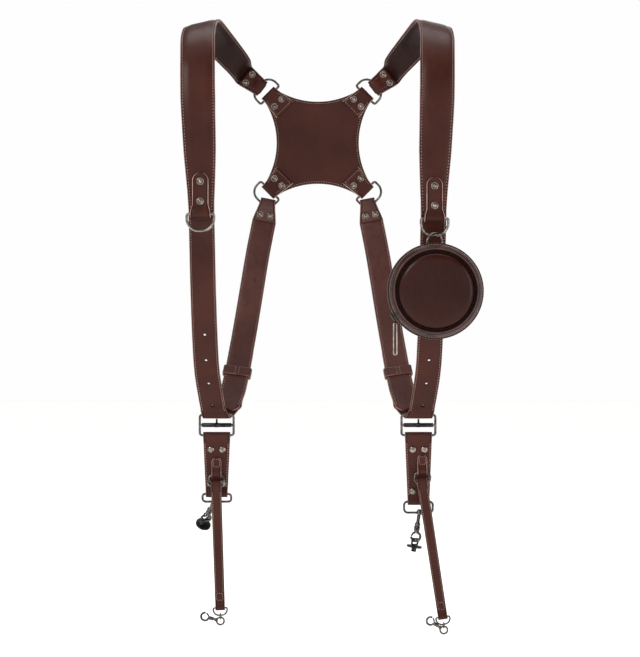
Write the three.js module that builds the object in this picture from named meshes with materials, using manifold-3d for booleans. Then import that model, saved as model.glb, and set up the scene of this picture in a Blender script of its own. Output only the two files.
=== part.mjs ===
// Two-sided shoulder harness of stitched leather: two padded shoulder straps joined by a
// back pad, with buckled front and back straps, snap hooks, safety tethers and a round pouch.
// Millimetres. X is to the wearer's left as seen from the front, so to the right of the view.
// Y goes from the chest to the back, Z is up. The origin lies between the shoulders, level
// with the underside of the straps where they cross the shoulders.
import * as THREE from 'three';
import { mergeVertices } from 'three/addons/utils/BufferGeometryUtils.js';
import Module from 'manifold-3d';

const wasm = await Module();
wasm.setup();

// How the harness lies when it is worn
const shoulderSpan = 268; // between the middles of the two front straps
const bodyDepth = 190; // from the chest straps to the back pad
const buckleDrop = 467; // from the shoulders down to the middle of the buckles
const buckleSpan = 234; // between the middles of the two buckles
const buckleBack = 78; // from the chest straps back to the buckles
const padDrop = 129; // from the shoulders down to the middle of the back pad

// Leather
const shoulderWidth = 39;
const shoulderThickness = 5;
const strapWidth = 29;
const strapThickness = 2.6;
const foldWidth = 21; // shoulder strap where it is folded round a pad ring
const backFoldWidth = 18; // back strap where it is folded round a pad ring
const foldLength = 24; // folded end that is riveted back on the strap
const tabThickness = 2.2;
const thinLeather = 1.6;
const plyGap = 0.4; // between the two plies of a fold
const seatGap = 0.3; // between a piece and what it lies on
const wireGap = 0.4; // between a wire and the leather folded round it

// Back pad
const padReach = 82; // middle of the pad to the bar of each pad ring
const padWaist = 50; // middle of the pad to the middle of each hollow side
const padThickness = 4;
const padTipWidth = 21;
const padTabLength = 26;
const padTabWidth = 28;

// Pad rings, D-shaped
const padRingWidth = 34.5;
const padRingDepth = 21;
const padRingBend = 12;
const padRingWire = 2.8;

// Rings on the shoulder straps and their tabs
const strapRingWidth = 33.5;
const strapRingDepth = 22;
const strapRingBend = 14;
const strapRingWire = 3;
const ringTabLength = 46;
const ringTabWidth = 18;
const ringTabFlare = 23;

// Buckles
const buckleWidth = 42;
const buckleHeight = 26.5;
const buckleBend = 3;
const buckleWire = 2.8;
const rollerDiameter = 5;
const prongDiameter = 2.2;

// Holes in the front straps
const holeCount = 4;
const holeSpacing = 30;
const holeDiameter = 3;
const firstHoleRise = 16; // from the buckle's upper bar up to the lowest hole, along the strap

// Keepers on the back straps
const keeperHeight = 11;
const keeperThickness = 1.6;
const keeperRoom = 0.7;

// Camera tabs
const cameraTabWidth = 31.5;
const cameraTabTaper = 0.8;
const loopWidth = 36;
const loopHeight = 15.5;
const loopBend = 4;
const loopWire = 2.8;

// Swivel hooks
const hubDiameter = 6.6;
const hubHeight = 5;
const shankDiameter = 2.8;
const shankHead = 5.4;
const swivelGap = 0.3;
const bodyLength = 10;
const bodyDiameter = 7;
const shankLength = 10;
const hookDiameter = 13;
const hookWire = 2.6;
const leverWire = 2.2;

// Screw plates that hang in the hooks
const bailWidth = 15;
const bailHeight = 9;
const bailWire = 2.2;
const plateDiameter = 18;
const plateThickness = 3;
const studDiameter = 6.35;
const studLength = 5;

// Safety tethers
const tetherWidth = 12;
const tetherTabLength = 20;
const tetherRingDiameter = 20.5;
const tetherRingWire = 2.2;
const tetherTabWidth = 11;
const endRingWidth = 18;
const endRingDepth = 10.5;
const endRingBend = 6.5;
const endRingWire = 2;
const linkDiameter = 8.2;
const linkWire = 1.4;
const eyeDiameter = 10.5;
const claspWire = 2;
const claspLength = 18.5; // between the middles of its eye and its hook
const claspDiameter = 11;

// Pouch on the strap ring of the +X side
const pouchDiameter = 107;
const pouchThickness = 30;
const pouchWall = 2.4;
const pouchSeat = 15; // from the chest straps' middle forward to the back of the pouch
const pouchDrop = 313.5; // from the shoulders down to the middle of the pouch
const pouchOut = 130.7;
const pouchRingDiameter = 23;
const pouchRingWire = 2;
const pouchRingTurn = 34; // degrees
const pouchLoopWidth = 7;
const pouchLoopLength = 20;
const zipWidth = 3;
const sliderTurn = 211.6; // degrees round the pouch from the outer side
const pullLength = 36;
const pullWidth = 5;
const pullWire = 1.4;

// Rivets
const rivetDiameter = 8.4;
const rivetHeight = 1.8;
const smallRivetDiameter = 7;

const leatherBrown = new THREE.MeshStandardMaterial({ color: 0x4a2622, roughness: 0.5, metalness: 0 });
const liningBrown = new THREE.MeshStandardMaterial({ color: 0x3a2320, roughness: 0.6, metalness: 0 });
const gunmetal = new THREE.MeshStandardMaterial({ color: 0x5a5654, roughness: 0.25, metalness: 1 });
const darkSteel = new THREE.MeshStandardMaterial({ color: 0x2b2a2c, roughness: 0.35, metalness: 1 });

const harness = new THREE.Group();
const vector = (x, y, z) => new THREE.Vector3(x, y, z);
const sideways = vector(1, 0, 0);
const backwards = vector(0, 1, 0);
const upwards = vector(0, 0, 1);
const blend = (from, to, share) => from + (to - from) * share;
const ease = (share) => share * share * (3 - 2 * share);

// A geometry from corners and faces, turned so that its faces point out.
function shell(positions, faces) {
  let volume = 0;
  const corner = (i) => vector(positions[3 * i], positions[3 * i + 1], positions[3 * i + 2]);
  for (let i = 0; i < faces.length; i += 3) {
    volume += corner(faces[i]).dot(corner(faces[i + 1]).cross(corner(faces[i + 2])));
  }
  const index = volume < 0 ? [...faces].reverse() : faces;
  const geometry = new THREE.BufferGeometry();
  geometry.setAttribute('position', new THREE.Float32BufferAttribute(positions, 3));
  geometry.setIndex([...index]);
  return geometry;
}

// A plain geometry of merged corners, without faces that have shrunk to nothing.
function merged(source) {
  const geometry = source.clone();
  geometry.deleteAttribute('normal');
  geometry.deleteAttribute('uv');
  const joined = mergeVertices(geometry, 1e-3);
  const index = joined.index.array;
  const faces = [];
  for (let i = 0; i < index.length; i += 3) {
    const [a, b, c] = [index[i], index[i + 1], index[i + 2]];
    if (a !== b && b !== c && c !== a) faces.push(a, b, c);
  }
  return shell([...joined.attributes.position.array], faces);
}

function toSolid(geometry) {
  const vertProperties = new Float32Array(geometry.attributes.position.array);
  const triVerts = new Uint32Array(geometry.index.array);
  return new wasm.Manifold(new wasm.Mesh({ numProp: 3, vertProperties, triVerts }));
}

function toGeometry(solid) {
  const mesh = solid.getMesh();
  return shell([...mesh.vertProperties], [...mesh.triVerts]);
}

function joined(first, ...others) {
  return toGeometry(others.reduce((sum, other) => sum.add(toSolid(other)), toSolid(first)));
}

function cut(first, ...others) {
  return toGeometry(others.reduce((sum, other) => sum.subtract(toSolid(other)), toSolid(first)));
}

function addPiece(name, geometry, material) {
  const mesh = new THREE.Mesh(geometry, material);
  mesh.name = name;
  harness.add(mesh);
}

// Sections of a strap as shares of half its width and half its thickness.
const flatSection = [[-1, -1], [1, -1], [1, 1], [-1, 1]];
const paddedSection = [[-1, 0], [-0.84, -1], [0.84, -1], [1, 0], [0.84, 1], [-0.84, 1]];

// A strap: a section carried along stations, each with its middle, the direction of its
// width, its width and its thickness. A skewed station keeps that direction as it is where
// the strap slants, so that the strap can go round a bar at an angle. A closed strap is a
// band that joins its own start.
function strap(stations, closed = false, section = flatSection) {
  const count = stations.length;
  const sides = section.length;
  const positions = [];
  stations.forEach((station, i) => {
    const before = stations[closed ? (i - 1 + count) % count : Math.max(i - 1, 0)];
    const after = stations[closed ? (i + 1) % count : Math.min(i + 1, count - 1)];
    const along = after.at.clone().sub(before.at).normalize();
    const slant = station.across.dot(along);
    const across = station.across.clone();
    if (!station.skewed) across.addScaledVector(along, -slant).normalize();
    const width = station.skewed ? station.width / Math.sqrt(1 - slant * slant) : station.width;
    const facing = along.clone().cross(across).normalize();
    for (const [u, v] of section) {
      const corner = station.at.clone().addScaledVector(across, (u * width) / 2);
      corner.addScaledVector(facing, (v * station.thick) / 2);
      positions.push(corner.x, corner.y, corner.z);
    }
  });
  const faces = [];
  const spans = closed ? count : count - 1;
  for (let i = 0; i < spans; i += 1) {
    const a = i * sides;
    const b = ((i + 1) % count) * sides;
    for (let j = 0; j < sides; j += 1) {
      const k = (j + 1) % sides;
      faces.push(a + j, b + j, b + k, a + j, b + k, a + k);
    }
  }
  if (!closed) {
    const last = (count - 1) * sides;
    for (let j = 1; j < sides - 1; j += 1) {
      faces.push(0, j, j + 1, last, last + j + 1, last + j);
    }
  }
  return shell(positions, faces);
}

// A wire of round section carried along a path that lies in one plane.
function wire(path, diameter, normal, closed = true, sides = 6) {
  const count = path.length;
  const positions = [];
  path.forEach((at, i) => {
    const before = path[closed ? (i - 1 + count) % count : Math.max(i - 1, 0)];
    const after = path[closed ? (i + 1) % count : Math.min(i + 1, count - 1)];
    const along = after.clone().sub(before).normalize();
    const outer = along.clone().cross(normal).normalize();
    for (let j = 0; j < sides; j += 1) {
      const turn = ((j + 0.5) / sides) * 2 * Math.PI;
      const corner = at.clone().addScaledVector(outer, (Math.cos(turn) * diameter) / 2);
      corner.addScaledVector(normal, (Math.sin(turn) * diameter) / 2);
      positions.push(corner.x, corner.y, corner.z);
    }
  });
  const faces = [];
  const spans = closed ? count : count - 1;
  for (let i = 0; i < spans; i += 1) {
    const a = i * sides;
    const b = ((i + 1) % count) * sides;
    for (let j = 0; j < sides; j += 1) {
      const k = (j + 1) % sides;
      faces.push(a + j, b + j, b + k, a + j, b + k, a + k);
    }
  }
  if (!closed) {
    const last = (count - 1) * sides;
    for (let j = 1; j < sides - 1; j += 1) {
      faces.push(0, j, j + 1, last, last + j + 1, last + j);
    }
  }
  return shell(positions, faces);
}

// Points of an arc in the plane of two directions, from one angle to another in degrees.
function arc(centre, first, second, radius, from, to, steps) {
  const points = [];
  for (let i = 0; i <= steps; i += 1) {
    const angle = THREE.MathUtils.degToRad(blend(from, to, i / steps));
    const point = centre.clone().addScaledVector(first, radius * Math.cos(angle));
    points.push(point.addScaledVector(second, radius * Math.sin(angle)));
  }
  return points;
}

// The wire's middle line of a D-ring: a straight bar at the given middle, corners of a small
// radius, and a bow with two wide bends, reaching away from the bar.
function ringPath(bar, across, away, width, depth, bend, diameter) {
  const half = (width - diameter) / 2;
  const reach = depth - diameter;
  const small = 0.8 * diameter;
  const near = (side) => bar.clone().addScaledVector(across, side * (half - small)).addScaledVector(away, small);
  const far = (side) => {
    const centre = bar.clone().addScaledVector(across, side * (half - bend));
    return centre.addScaledVector(away, reach - bend);
  };
  return [
    ...arc(near(-1), across, away, small, 270, 180, 2),
    ...arc(far(-1), across, away, bend, 180, 90, 4),
    ...arc(far(1), across, away, bend, 90, 0, 4),
    ...arc(near(1), across, away, small, 0, -90, 2),
  ];
}

// The wire's middle line of a rounded rectangle.
function framePath(centre, across, up, width, height, bend, diameter) {
  const u = (width - diameter) / 2 - bend;
  const v = (height - diameter) / 2 - bend;
  const corner = (i, j, from) => {
    const middle = centre.clone().addScaledVector(across, i * u).addScaledVector(up, j * v);
    return arc(middle, across, up, bend, from, from + 90, 2);
  };
  return [...corner(1, 1, 0), ...corner(-1, 1, 90), ...corner(-1, -1, 180), ...corner(1, -1, 270)];
}

// Stations of a strap's end that is folded round a wire. The leg arrives at start, going
// along, and comes back on the side of toward. Room is the length kept open for a bowed wire.
function foldOver({ start, along, across, toward, wireSize, room, thick, widthAt }) {
  const radius = wireSize / 2 + wireGap + thick / 2;
  const centre = start.clone().addScaledVector(toward, radius);
  const stations = [];
  for (const at of arc(centre, toward.clone().negate(), along, radius, 0, 180, 5)) {
    stations.push({ at, across, width: widthAt(0), thick });
  }
  const closing = 3 * thick;
  const shares = [0.35, 0.7, 1];
  const closed = thick + plyGap;
  const back = (distance, offset) => {
    const at = start.clone().addScaledVector(along, -distance).addScaledVector(toward, offset);
    stations.push({ at, across, width: widthAt(distance), thick });
  };
  if (room > 0) back(room, 2 * radius);
  for (const share of shares) {
    back(room + closing * share, blend(2 * radius, closed, ease(share)));
  }
  return { stations, back, closed };
}

// Stations of a doubled strap, folded round a wire at both ends, as one closed band.
function doubled({ top, bottom, across, topWire, bottomWire, topRoom, bottomRoom, thick, topWidth, bottomWidth }) {
  const down = bottom.clone().sub(top).normalize();
  const front = down.clone().cross(across).normalize();
  if (front.y > 0) front.negate();
  const length = bottom.distanceTo(top);
  const topRadius = topWire / 2 + wireGap + thick / 2;
  const bottomRadius = bottomWire / 2 + wireGap + thick / 2;
  const pinched = (thick + plyGap) / 2;
  const closing = 3 * thick;
  const legs = [
    { from: topRoom, gap: topRadius },
    { from: topRoom + closing * 0.5, gap: blend(topRadius, pinched, 0.5) },
    { from: topRoom + closing, gap: pinched },
    { from: length * 0.5, gap: pinched },
    { from: length - bottomRoom - closing, gap: pinched },
    { from: length - bottomRoom - closing * 0.5, gap: blend(bottomRadius, pinched, 0.5) },
    { from: length - bottomRoom, gap: bottomRadius },
  ];
  const widthAt = (distance) => blend(topWidth, bottomWidth, THREE.MathUtils.clamp(distance / length, 0, 1));
  const leg = (row, side) => {
    const at = top.clone().addScaledVector(down, row.from).addScaledVector(front, side * row.gap);
    return { at, across, width: widthAt(row.from), thick };
  };
  const stations = legs.map((row) => leg(row, 1));
  for (const at of arc(bottom, front, down, bottomRadius, 0, 180, 5)) {
    stations.push({ at, across, width: bottomWidth, thick });
  }
  stations.push(...[...legs].reverse().map((row) => leg(row, -1)));
  for (const at of arc(top, front.clone().negate(), down.clone().negate(), topRadius, 0, 180, 5)) {
    stations.push({ at, across, width: topWidth, thick });
  }
  return dropRepeats(stations);
}

// Two stations at one place would leave no direction between them, so the second goes.
function dropRepeats(stations) {
  return stations.filter((station, i) => {
    const before = stations[(i - 1 + stations.length) % stations.length];
    return station.at.distanceTo(before.at) > 0.05;
  });
}

// A domed rivet head standing on a face, its foot a little below it.
function rivet(at, facing, diameter) {
  const radius = diameter / 2;
  const foot = 0.5;
  const profile = [
    [0, -foot], [radius, -foot], [radius, 0.25 * rivetHeight], [0.62 * radius, 0.9 * rivetHeight], [0, rivetHeight],
  ];
  const dome = new THREE.LatheGeometry(profile.map(([x, y]) => new THREE.Vector2(x, y)), 8);
  const turn = new THREE.Quaternion().setFromUnitVectors(backwards, facing);
  dome.applyQuaternion(turn);
  dome.translate(at.x, at.y, at.z);
  return merged(dome);
}

// A round bar between two points.
function bar(from, to, diameter, sides = 10) {
  const length = from.distanceTo(to);
  const cylinder = new THREE.CylinderGeometry(diameter / 2, diameter / 2, length, sides);
  cylinder.applyQuaternion(new THREE.Quaternion().setFromUnitVectors(backwards, to.clone().sub(from).normalize()));
  const middle = from.clone().lerp(to, 0.5);
  cylinder.translate(middle.x, middle.y, middle.z);
  return merged(cylinder);
}

// A solid of revolution about an axis, from rows of radius and height along the axis.
function turned(at, axis, rows, sides) {
  const lathe = new THREE.LatheGeometry(rows.map(([x, y]) => new THREE.Vector2(x, y)), sides);
  lathe.applyQuaternion(new THREE.Quaternion().setFromUnitVectors(backwards, axis));
  lathe.translate(at.x, at.y, at.z);
  return merged(lathe);
}

// Back pad: four arms with hollow sides between them
const padMiddle = vector(0, bodyDepth, -padDrop);
const padTip = padReach - padRingWire / 2 - 2 * seatGap;

function padOutline() {
  const outline = new THREE.Shape();
  const h = (padTip + padTipWidth / 2) * Math.SQRT1_2;
  const k = (padTip - padTipWidth / 2) * Math.SQRT1_2;
  const reach = (h * h + k * k - padWaist * padWaist) / (2 * (h - padWaist));
  const radius = reach - padWaist;
  const spread = Math.atan2(k, reach - h);
  const steps = 10;
  for (let side = 0; side < 4; side += 1) {
    const facing = (side * Math.PI) / 2;
    for (let i = 0; i <= steps; i += 1) {
      const turn = blend(-spread, spread, i / steps);
      const out = reach - radius * Math.cos(turn);
      const along = radius * Math.sin(turn);
      const x = out * Math.cos(facing) - along * Math.sin(facing);
      const y = out * Math.sin(facing) + along * Math.cos(facing);
      if (side === 0 && i === 0) outline.moveTo(x, y);
      else outline.lineTo(x, y);
    }
  }
  return outline;
}

const pad = new THREE.ExtrudeGeometry(padOutline(), { depth: padThickness, bevelEnabled: false });
pad.translate(0, 0, -padThickness / 2);
pad.rotateX(Math.PI / 2);
pad.translate(padMiddle.x, padMiddle.y, padMiddle.z);
addPiece('back_pad', merged(pad), leatherBrown);

const padTabOffset = padThickness / 2 + seatGap + tabThickness / 2;
const padRivetReach = 14; // from the ring bar in to the rivets of a pad tab
const padRivetSpread = 6.3; // to each side of the tab's middle

function padArm(sign, rise) {
  const away = vector(sign, 0, rise).normalize();
  const across = away.clone().cross(backwards);
  return { away, across, bar: padMiddle.clone().addScaledVector(away, padReach) };
}

function addPadArm(name, sign, rise) {
  const { away, across, bar: middle } = padArm(sign, rise);
  const legs = [1, 0.55, 0.1];
  const leg = (share, offset) => {
    const at = middle.clone().addScaledVector(away, -share * padTabLength).addScaledVector(backwards, offset);
    return { at, across, width: blend(padTipWidth, padTabWidth, share), thick: tabThickness };
  };
  const stations = legs.map((share) => leg(share, -padTabOffset));
  for (const at of arc(middle, backwards.clone().negate(), away, padTabOffset, 0, 180, 8)) {
    stations.push({ at, across, width: padTipWidth, thick: tabThickness });
  }
  stations.push(...[...legs].reverse().map((share) => leg(share, padTabOffset)));
  const face = middle.clone().addScaledVector(backwards, -padTabOffset - tabThickness / 2);
  const rivets = [-1, 1].map((side) => {
    const at = face.clone().addScaledVector(away, -padRivetReach).addScaledVector(across, side * padRivetSpread);
    return rivet(at, backwards.clone().negate(), rivetDiameter);
  });
  addPiece(`${name}_pad_tab`, joined(strap(stations), ...rivets), leatherBrown);
  const path = ringPath(middle, across, away, padRingWidth, padRingDepth, padRingBend, padRingWire);
  addPiece(`${name}_pad_ring`, wire(path, padRingWire, backwards), gunmetal);
}

// Where a strap that pulls in a direction takes hold of a pad ring's bow.
function bowPoint(arm, pull) {
  const flat = (padRingWidth - padRingWire) / 2 - padRingBend;
  const reach = padRingDepth - padRingWire - padRingBend;
  const slant = Math.abs(pull.dot(arm.across));
  const support = flat * slant + reach * pull.dot(arm.away) + padRingBend;
  return arm.bar.clone().addScaledVector(pull, support);
}

// Stations along a smooth line through rows. Each row holds its place, how far the outer
// edge leans down in degrees, and the strap's width and thickness there.
function routed(rows, sign, steps) {
  const curve = new THREE.CatmullRomCurve3(rows.map((row) => row.at), false, 'centripetal');
  const stations = [];
  const spans = rows.length - 1;
  for (let i = 0; i <= spans * steps; i += 1) {
    const span = Math.min(Math.floor(i / steps), spans - 1);
    const share = i / steps - span;
    const lean = THREE.MathUtils.degToRad(blend(rows[span].lean, rows[span + 1].lean, share));
    stations.push({
      at: curve.getPoint(i / (spans * steps)),
      across: vector(sign * Math.cos(lean), 0, -Math.sin(lean)),
      width: blend(rows[span].width, rows[span + 1].width, share),
      thick: blend(rows[span].thick, rows[span + 1].thick, share),
    });
  }
  return stations;
}

const halfSpan = shoulderSpan / 2;
const placed = (sign, out, back, drop) => vector(sign * out * halfSpan, back * bodyDepth, -drop * buckleDrop);

// Shoulder strap from its lower end up the chest, over the shoulder and down to the pad.
// Out is a share of half the span, back of the body's depth, drop of the drop to the
// buckles, lean the slope of the width in degrees, wide a share of the strap's width.
const shoulderRows = [
  { out: 0.972, back: 0, drop: 0.488, lean: 0, wide: 0.71 },
  { out: 0.974, back: 0, drop: 0.43, lean: 0, wide: 0.79 },
  { out: 0.985, back: 0, drop: 0.335, lean: 0, wide: 0.93 },
  { out: 1, back: 0, drop: 0.212, lean: 0, wide: 1 },
  { out: 1.008, back: 0.06, drop: 0.105, lean: 2, wide: 1 },
  { out: 1.015, back: 0.19, drop: 0.042, lean: 8, wide: 1 },
  { out: 0.99, back: 0.43, drop: 0.004, lean: 14, wide: 1 },
  { out: 0.86, back: 0.74, drop: 0.035, lean: 26, wide: 0.94 },
  { out: 0.7, back: 0.93, drop: 0.083, lean: 44, wide: 0.8 },
];
const shoulderPull = 38; // degrees above level at which the strap pulls on its pad ring

function addShoulderStrap(name, sign) {
  const arm = padArm(sign, 1);
  const slope = THREE.MathUtils.degToRad(shoulderPull);
  const pull = vector(sign * Math.cos(slope), 0, Math.sin(slope));
  const across = vector(sign * Math.sin(slope), 0, -Math.cos(slope));
  const radius = padRingWire / 2 + wireGap + strapThickness / 2;
  const room = 3.4;
  const start = bowPoint(arm, pull).addScaledVector(pull, -room).addScaledVector(backwards, radius);
  const rows = shoulderRows.map((row) => ({
    at: placed(sign, row.out, row.back, row.drop),
    lean: row.lean,
    width: row.wide * shoulderWidth,
    thick: shoulderThickness,
  }));
  const flat = [foldLength, 0.6 * foldLength, 0.3 * foldLength];
  for (const distance of flat) {
    const at = start.clone().addScaledVector(pull, distance);
    const width = blend(foldWidth, 0.7 * shoulderWidth, distance / foldLength);
    rows.push({ at, lean: 90 - shoulderPull, width, thick: strapThickness });
  }
  const stations = routed(rows, sign, 3);
  const widthAt = (distance) => blend(foldWidth, 0.7 * shoulderWidth, distance / foldLength);
  const fold = foldOver({
    start, along: pull.clone().negate(), across, toward: backwards.clone().negate(),
    wireSize: padRingWire, room, thick: strapThickness, widthAt,
  });
  fold.back(foldLength, fold.closed);
  stations.push(...fold.stations);
  const face = start.clone().addScaledVector(pull, 0.72 * foldLength);
  face.addScaledVector(backwards, -fold.closed - strapThickness / 2);
  const rivets = [-1, 1].map((side) => {
    return rivet(face.clone().addScaledVector(across, side * padRivetSpread), backwards.clone().negate(), rivetDiameter);
  });
  addPiece(`${name}_shoulder_strap`, joined(strap(stations, false, paddedSection), ...rivets), leatherBrown);
}

addPadArm('upper_left', -1, 1);
addPadArm('upper_right', 1, 1);
addPadArm('lower_left', -1, -1);
addPadArm('lower_right', 1, -1);
addShoulderStrap('left', -1);
addShoulderStrap('right', 1);

// What differs between the two sides as the harness hangs: the drop of the strap ring, the
// length of the camera tab, the tilt of its loop and the lean of the hook in degrees, where
// along the loop the hook hangs, where the tether ring and the tether's end hang, and the
// slope of the clasp in degrees.
const sides = [
  {
    name: 'left', sign: -1, ringDrop: 227, tabLength: 68, loopTilt: 40, hookLean: 20, hubShift: -4,
    tetherRingOut: 117, tetherRingDrop: 41, tetherEndOut: 112.4, tetherEndDrop: 187.5, claspTurn: 16,
  },
  {
    name: 'right', sign: 1, ringDrop: 232, tabLength: 77, loopTilt: 0, hookLean: 8.5, hubShift: 1,
    tetherRingOut: 121.2, tetherRingDrop: 38, tetherEndOut: 144.4, tetherEndDrop: 198, claspTurn: 34,
  },
];
const shoulderEndDrop = shoulderRows[0].drop * buckleDrop;
const frontFace = -shoulderThickness / 2; // chest side of the shoulder straps' lower ends
const barRise = (buckleHeight - buckleWire) / 2; // middle of a buckle to its upper or lower bar
const wrapRadius = buckleWire / 2 + wireGap + strapThickness / 2;
const tailCount = 5; // stations of the back strap that the tail follows
const frontTuck = 28; // length of the front strap behind the shoulder strap
const wrapShift = 3.4; // how far the slanting strap moves along the bar as it goes round

// Back strap from the pad ring's fold down to its tip above the buckle. Out is a share of
// half the buckle span, back of the body's depth, drop of the drop to the buckles.
const backRows = [
  { out: 0.62, back: 0.925, drop: 0.567 },
  { out: 0.7, back: 0.79, drop: 0.7 },
  { out: 0.775, back: 0.645, drop: 0.82 },
  { out: 0.842, back: 0.515, drop: 0.91 },
  { out: 0.889, back: 0.459, drop: 0.945 },
];
const backPull = 79; // degrees above level at which the back strap pulls on its pad ring

// Front strap from under the shoulder strap down to the buckle's upper bar. Out is a share
// of half the shoulder span, back of the way back to the buckle, drop of the buckle's drop.
const frontRows = [
  { out: 0.972, back: 0.1, drop: 0.524 },
  { out: 0.966, back: 0.2, drop: 0.64 },
  { out: 0.958, back: 0.37, drop: 0.76 },
  { out: 0.945, back: 0.6, drop: 0.861 },
  { out: 0.918, back: 0.8, drop: 0.925 },
];

function backStations(sign) {
  const arm = padArm(sign, -1);
  const slope = THREE.MathUtils.degToRad(backPull);
  const pull = vector(sign * Math.cos(slope), 0, -Math.sin(slope));
  const across = vector(sign * Math.sin(slope), 0, Math.cos(slope));
  const radius = padRingWire / 2 + wireGap + strapThickness / 2;
  const room = 4.9;
  const start = bowPoint(arm, pull).addScaledVector(pull, -room).addScaledVector(backwards, radius);
  const widthAt = (distance) => blend(backFoldWidth, strapWidth, Math.min(distance / foldLength, 1));
  const fold = foldOver({
    start, along: pull.clone().negate(), across, toward: backwards.clone().negate(),
    wireSize: padRingWire, room, thick: strapThickness, widthAt,
  });
  fold.back(foldLength, fold.closed);
  const rows = [0.3, 0.6, 1].map((share) => {
    const at = start.clone().addScaledVector(pull, share * foldLength);
    return { at, lean: backPull - 90, width: widthAt(share * foldLength), thick: strapThickness };
  });
  for (const row of backRows) {
    const at = vector((sign * row.out * buckleSpan) / 2, row.back * bodyDepth, -row.drop * buckleDrop);
    rows.push({ at, lean: 0, width: strapWidth, thick: strapThickness });
  }
  const run = routed(rows, sign, 2);
  const face = start.clone().addScaledVector(pull, 0.68 * foldLength);
  face.addScaledVector(backwards, -fold.closed - strapThickness / 2);
  const heads = [-1, 1].map((side) => {
    return rivet(face.clone().addScaledVector(across, side * padRivetSpread), backwards.clone().negate(), rivetDiameter);
  });
  return { run, fold, heads };
}

// The tip narrows in a round over the last stretch of the strap.
function roundTip(stations, length) {
  const end = stations[stations.length - 1].at;
  const before = stations[stations.length - 2].at;
  const along = end.clone().sub(before).normalize();
  const base = stations[stations.length - 1];
  for (const share of [0.35, 0.7, 0.92, 1]) {
    const at = end.clone().addScaledVector(along, share * length);
    stations.push({ ...base, at, width: base.width * Math.sqrt(1 - 0.7 * share * share) });
  }
}

function addBackStrap(side, back) {
  const run = [...back.run];
  roundTip(run, 9);
  const stations = [...back.fold.stations].reverse().concat(run);
  addPiece(`${side.name}_back_strap`, joined(strap(stations), ...back.heads), leatherBrown);
}

// The front strap goes down to the buckle, slants round its upper bar and runs up again
// behind the back strap, as far as just above the keeper.
function frontStations(side, back) {
  const { sign } = side;
  const barMiddle = vector((sign * buckleSpan) / 2, buckleBack, -buckleDrop + barRise);
  const topY = seatGap + shoulderThickness / 2 + strapThickness / 2;
  const down = (at) => ({ at, lean: 0, width: strapWidth, thick: strapThickness });
  const topOut = sign * frontRows[0].out * halfSpan;
  const rows = [
    down(vector(topOut, topY, -shoulderEndDrop + frontTuck)),
    down(vector(topOut, topY, -shoulderEndDrop + 4)),
    down(vector(topOut, topY + 0.4, -shoulderEndDrop - 4)),
  ];
  for (const row of frontRows) {
    const back = topY + row.back * (buckleBack - wrapRadius - topY);
    rows.push(down(vector(sign * row.out * halfSpan, back, -row.drop * buckleDrop)));
  }
  const level = { across: sideways, width: strapWidth, thick: strapThickness, skewed: true };
  rows.push(down(barMiddle.clone().add(vector(sign * (wrapShift / 2 + 2), -wrapRadius - 0.6, 6))));
  const stations = routed(rows, sign, 2).map((station) => ({ ...station, ...level }));
  const { run } = back;
  const tail = [];
  for (let i = run.length - 1; i >= run.length - tailCount; i -= 1) {
    const along = run[i - 1].at.clone().sub(run[Math.min(i + 1, run.length - 1)].at).normalize();
    const facing = along.clone().cross(sideways).normalize();
    if (facing.y < 0) facing.negate();
    tail.push({ ...level, at: run[i].at.clone().addScaledVector(facing, strapThickness + plyGap) });
  }
  const leaving = tail[0].at.clone().sub(barMiddle);
  const wrapEnd = Math.PI - Math.atan2(leaving.y, leaving.z) + Math.asin(wrapRadius / Math.hypot(leaving.y, leaving.z));
  const wrapSteps = 8;
  for (let i = 0; i <= wrapSteps; i += 1) {
    const turn = (i / wrapSteps) * wrapEnd;
    const at = barMiddle.clone().add(vector(
      sign * wrapShift * (0.5 - i / wrapSteps),
      -wrapRadius * Math.cos(turn),
      -wrapRadius * Math.sin(turn),
    ));
    stations.push({ ...level, at });
  }
  const left = stations[stations.length - 1].at;
  stations.push({ ...level, at: left.clone().lerp(tail[0].at, 0.5) });
  stations.push(...tail);
  return stations;
}

// A hole punched through the strap at a station.
function punched(stations, i) {
  const along = stations[i + 1].at.clone().sub(stations[i - 1].at).normalize();
  const facing = along.cross(stations[i].across).normalize();
  const reach = 2 * strapThickness;
  const from = stations[i].at.clone().addScaledVector(facing, -reach);
  return bar(from, stations[i].at.clone().addScaledVector(facing, reach), holeDiameter, 6);
}

function addFrontStrap(side, front) {
  const wrapIndex = front.findIndex((station) => station.at.z < -buckleDrop + barRise);
  const holes = [];
  let travelled = 0;
  for (let i = wrapIndex; i > 1 && holes.length < holeCount; i -= 1) {
    travelled += front[i].at.distanceTo(front[i - 1].at);
    if (travelled >= firstHoleRise + holes.length * holeSpacing) holes.push(punched(front, i - 1));
  }
  addPiece(`${side.name}_front_strap`, cut(strap(front), ...holes), leatherBrown);
}

// Keeper: a band of thin leather round the back strap and the tail behind it
const keeperPlace = 4; // stations of the back strap up from its end
function addKeeper(side, back) {
  const run = back.run;
  const i = run.length - keeperPlace;
  const along = run[i + 1].at.clone().sub(run[i - 1].at).normalize();
  const across = run[i].across.clone().addScaledVector(along, -run[i].across.dot(along)).normalize();
  const facing = along.clone().cross(across);
  if (facing.y < 0) facing.negate();
  const middle = run[i].at.clone().addScaledVector(facing, (strapThickness + plyGap) / 2);
  const inner = keeperRoom + keeperThickness / 2;
  const width = strapWidth + 2 * inner;
  const depth = 2 * strapThickness + plyGap + 2 * inner;
  const path = framePath(middle, across, facing, width, depth, 2, 0);
  const stations = path.map((at) => ({ at, across: along, width: keeperHeight, thick: keeperThickness }));
  addPiece(`${side.name}_keeper`, strap(dropRepeats(stations), true), leatherBrown);
}

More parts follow.
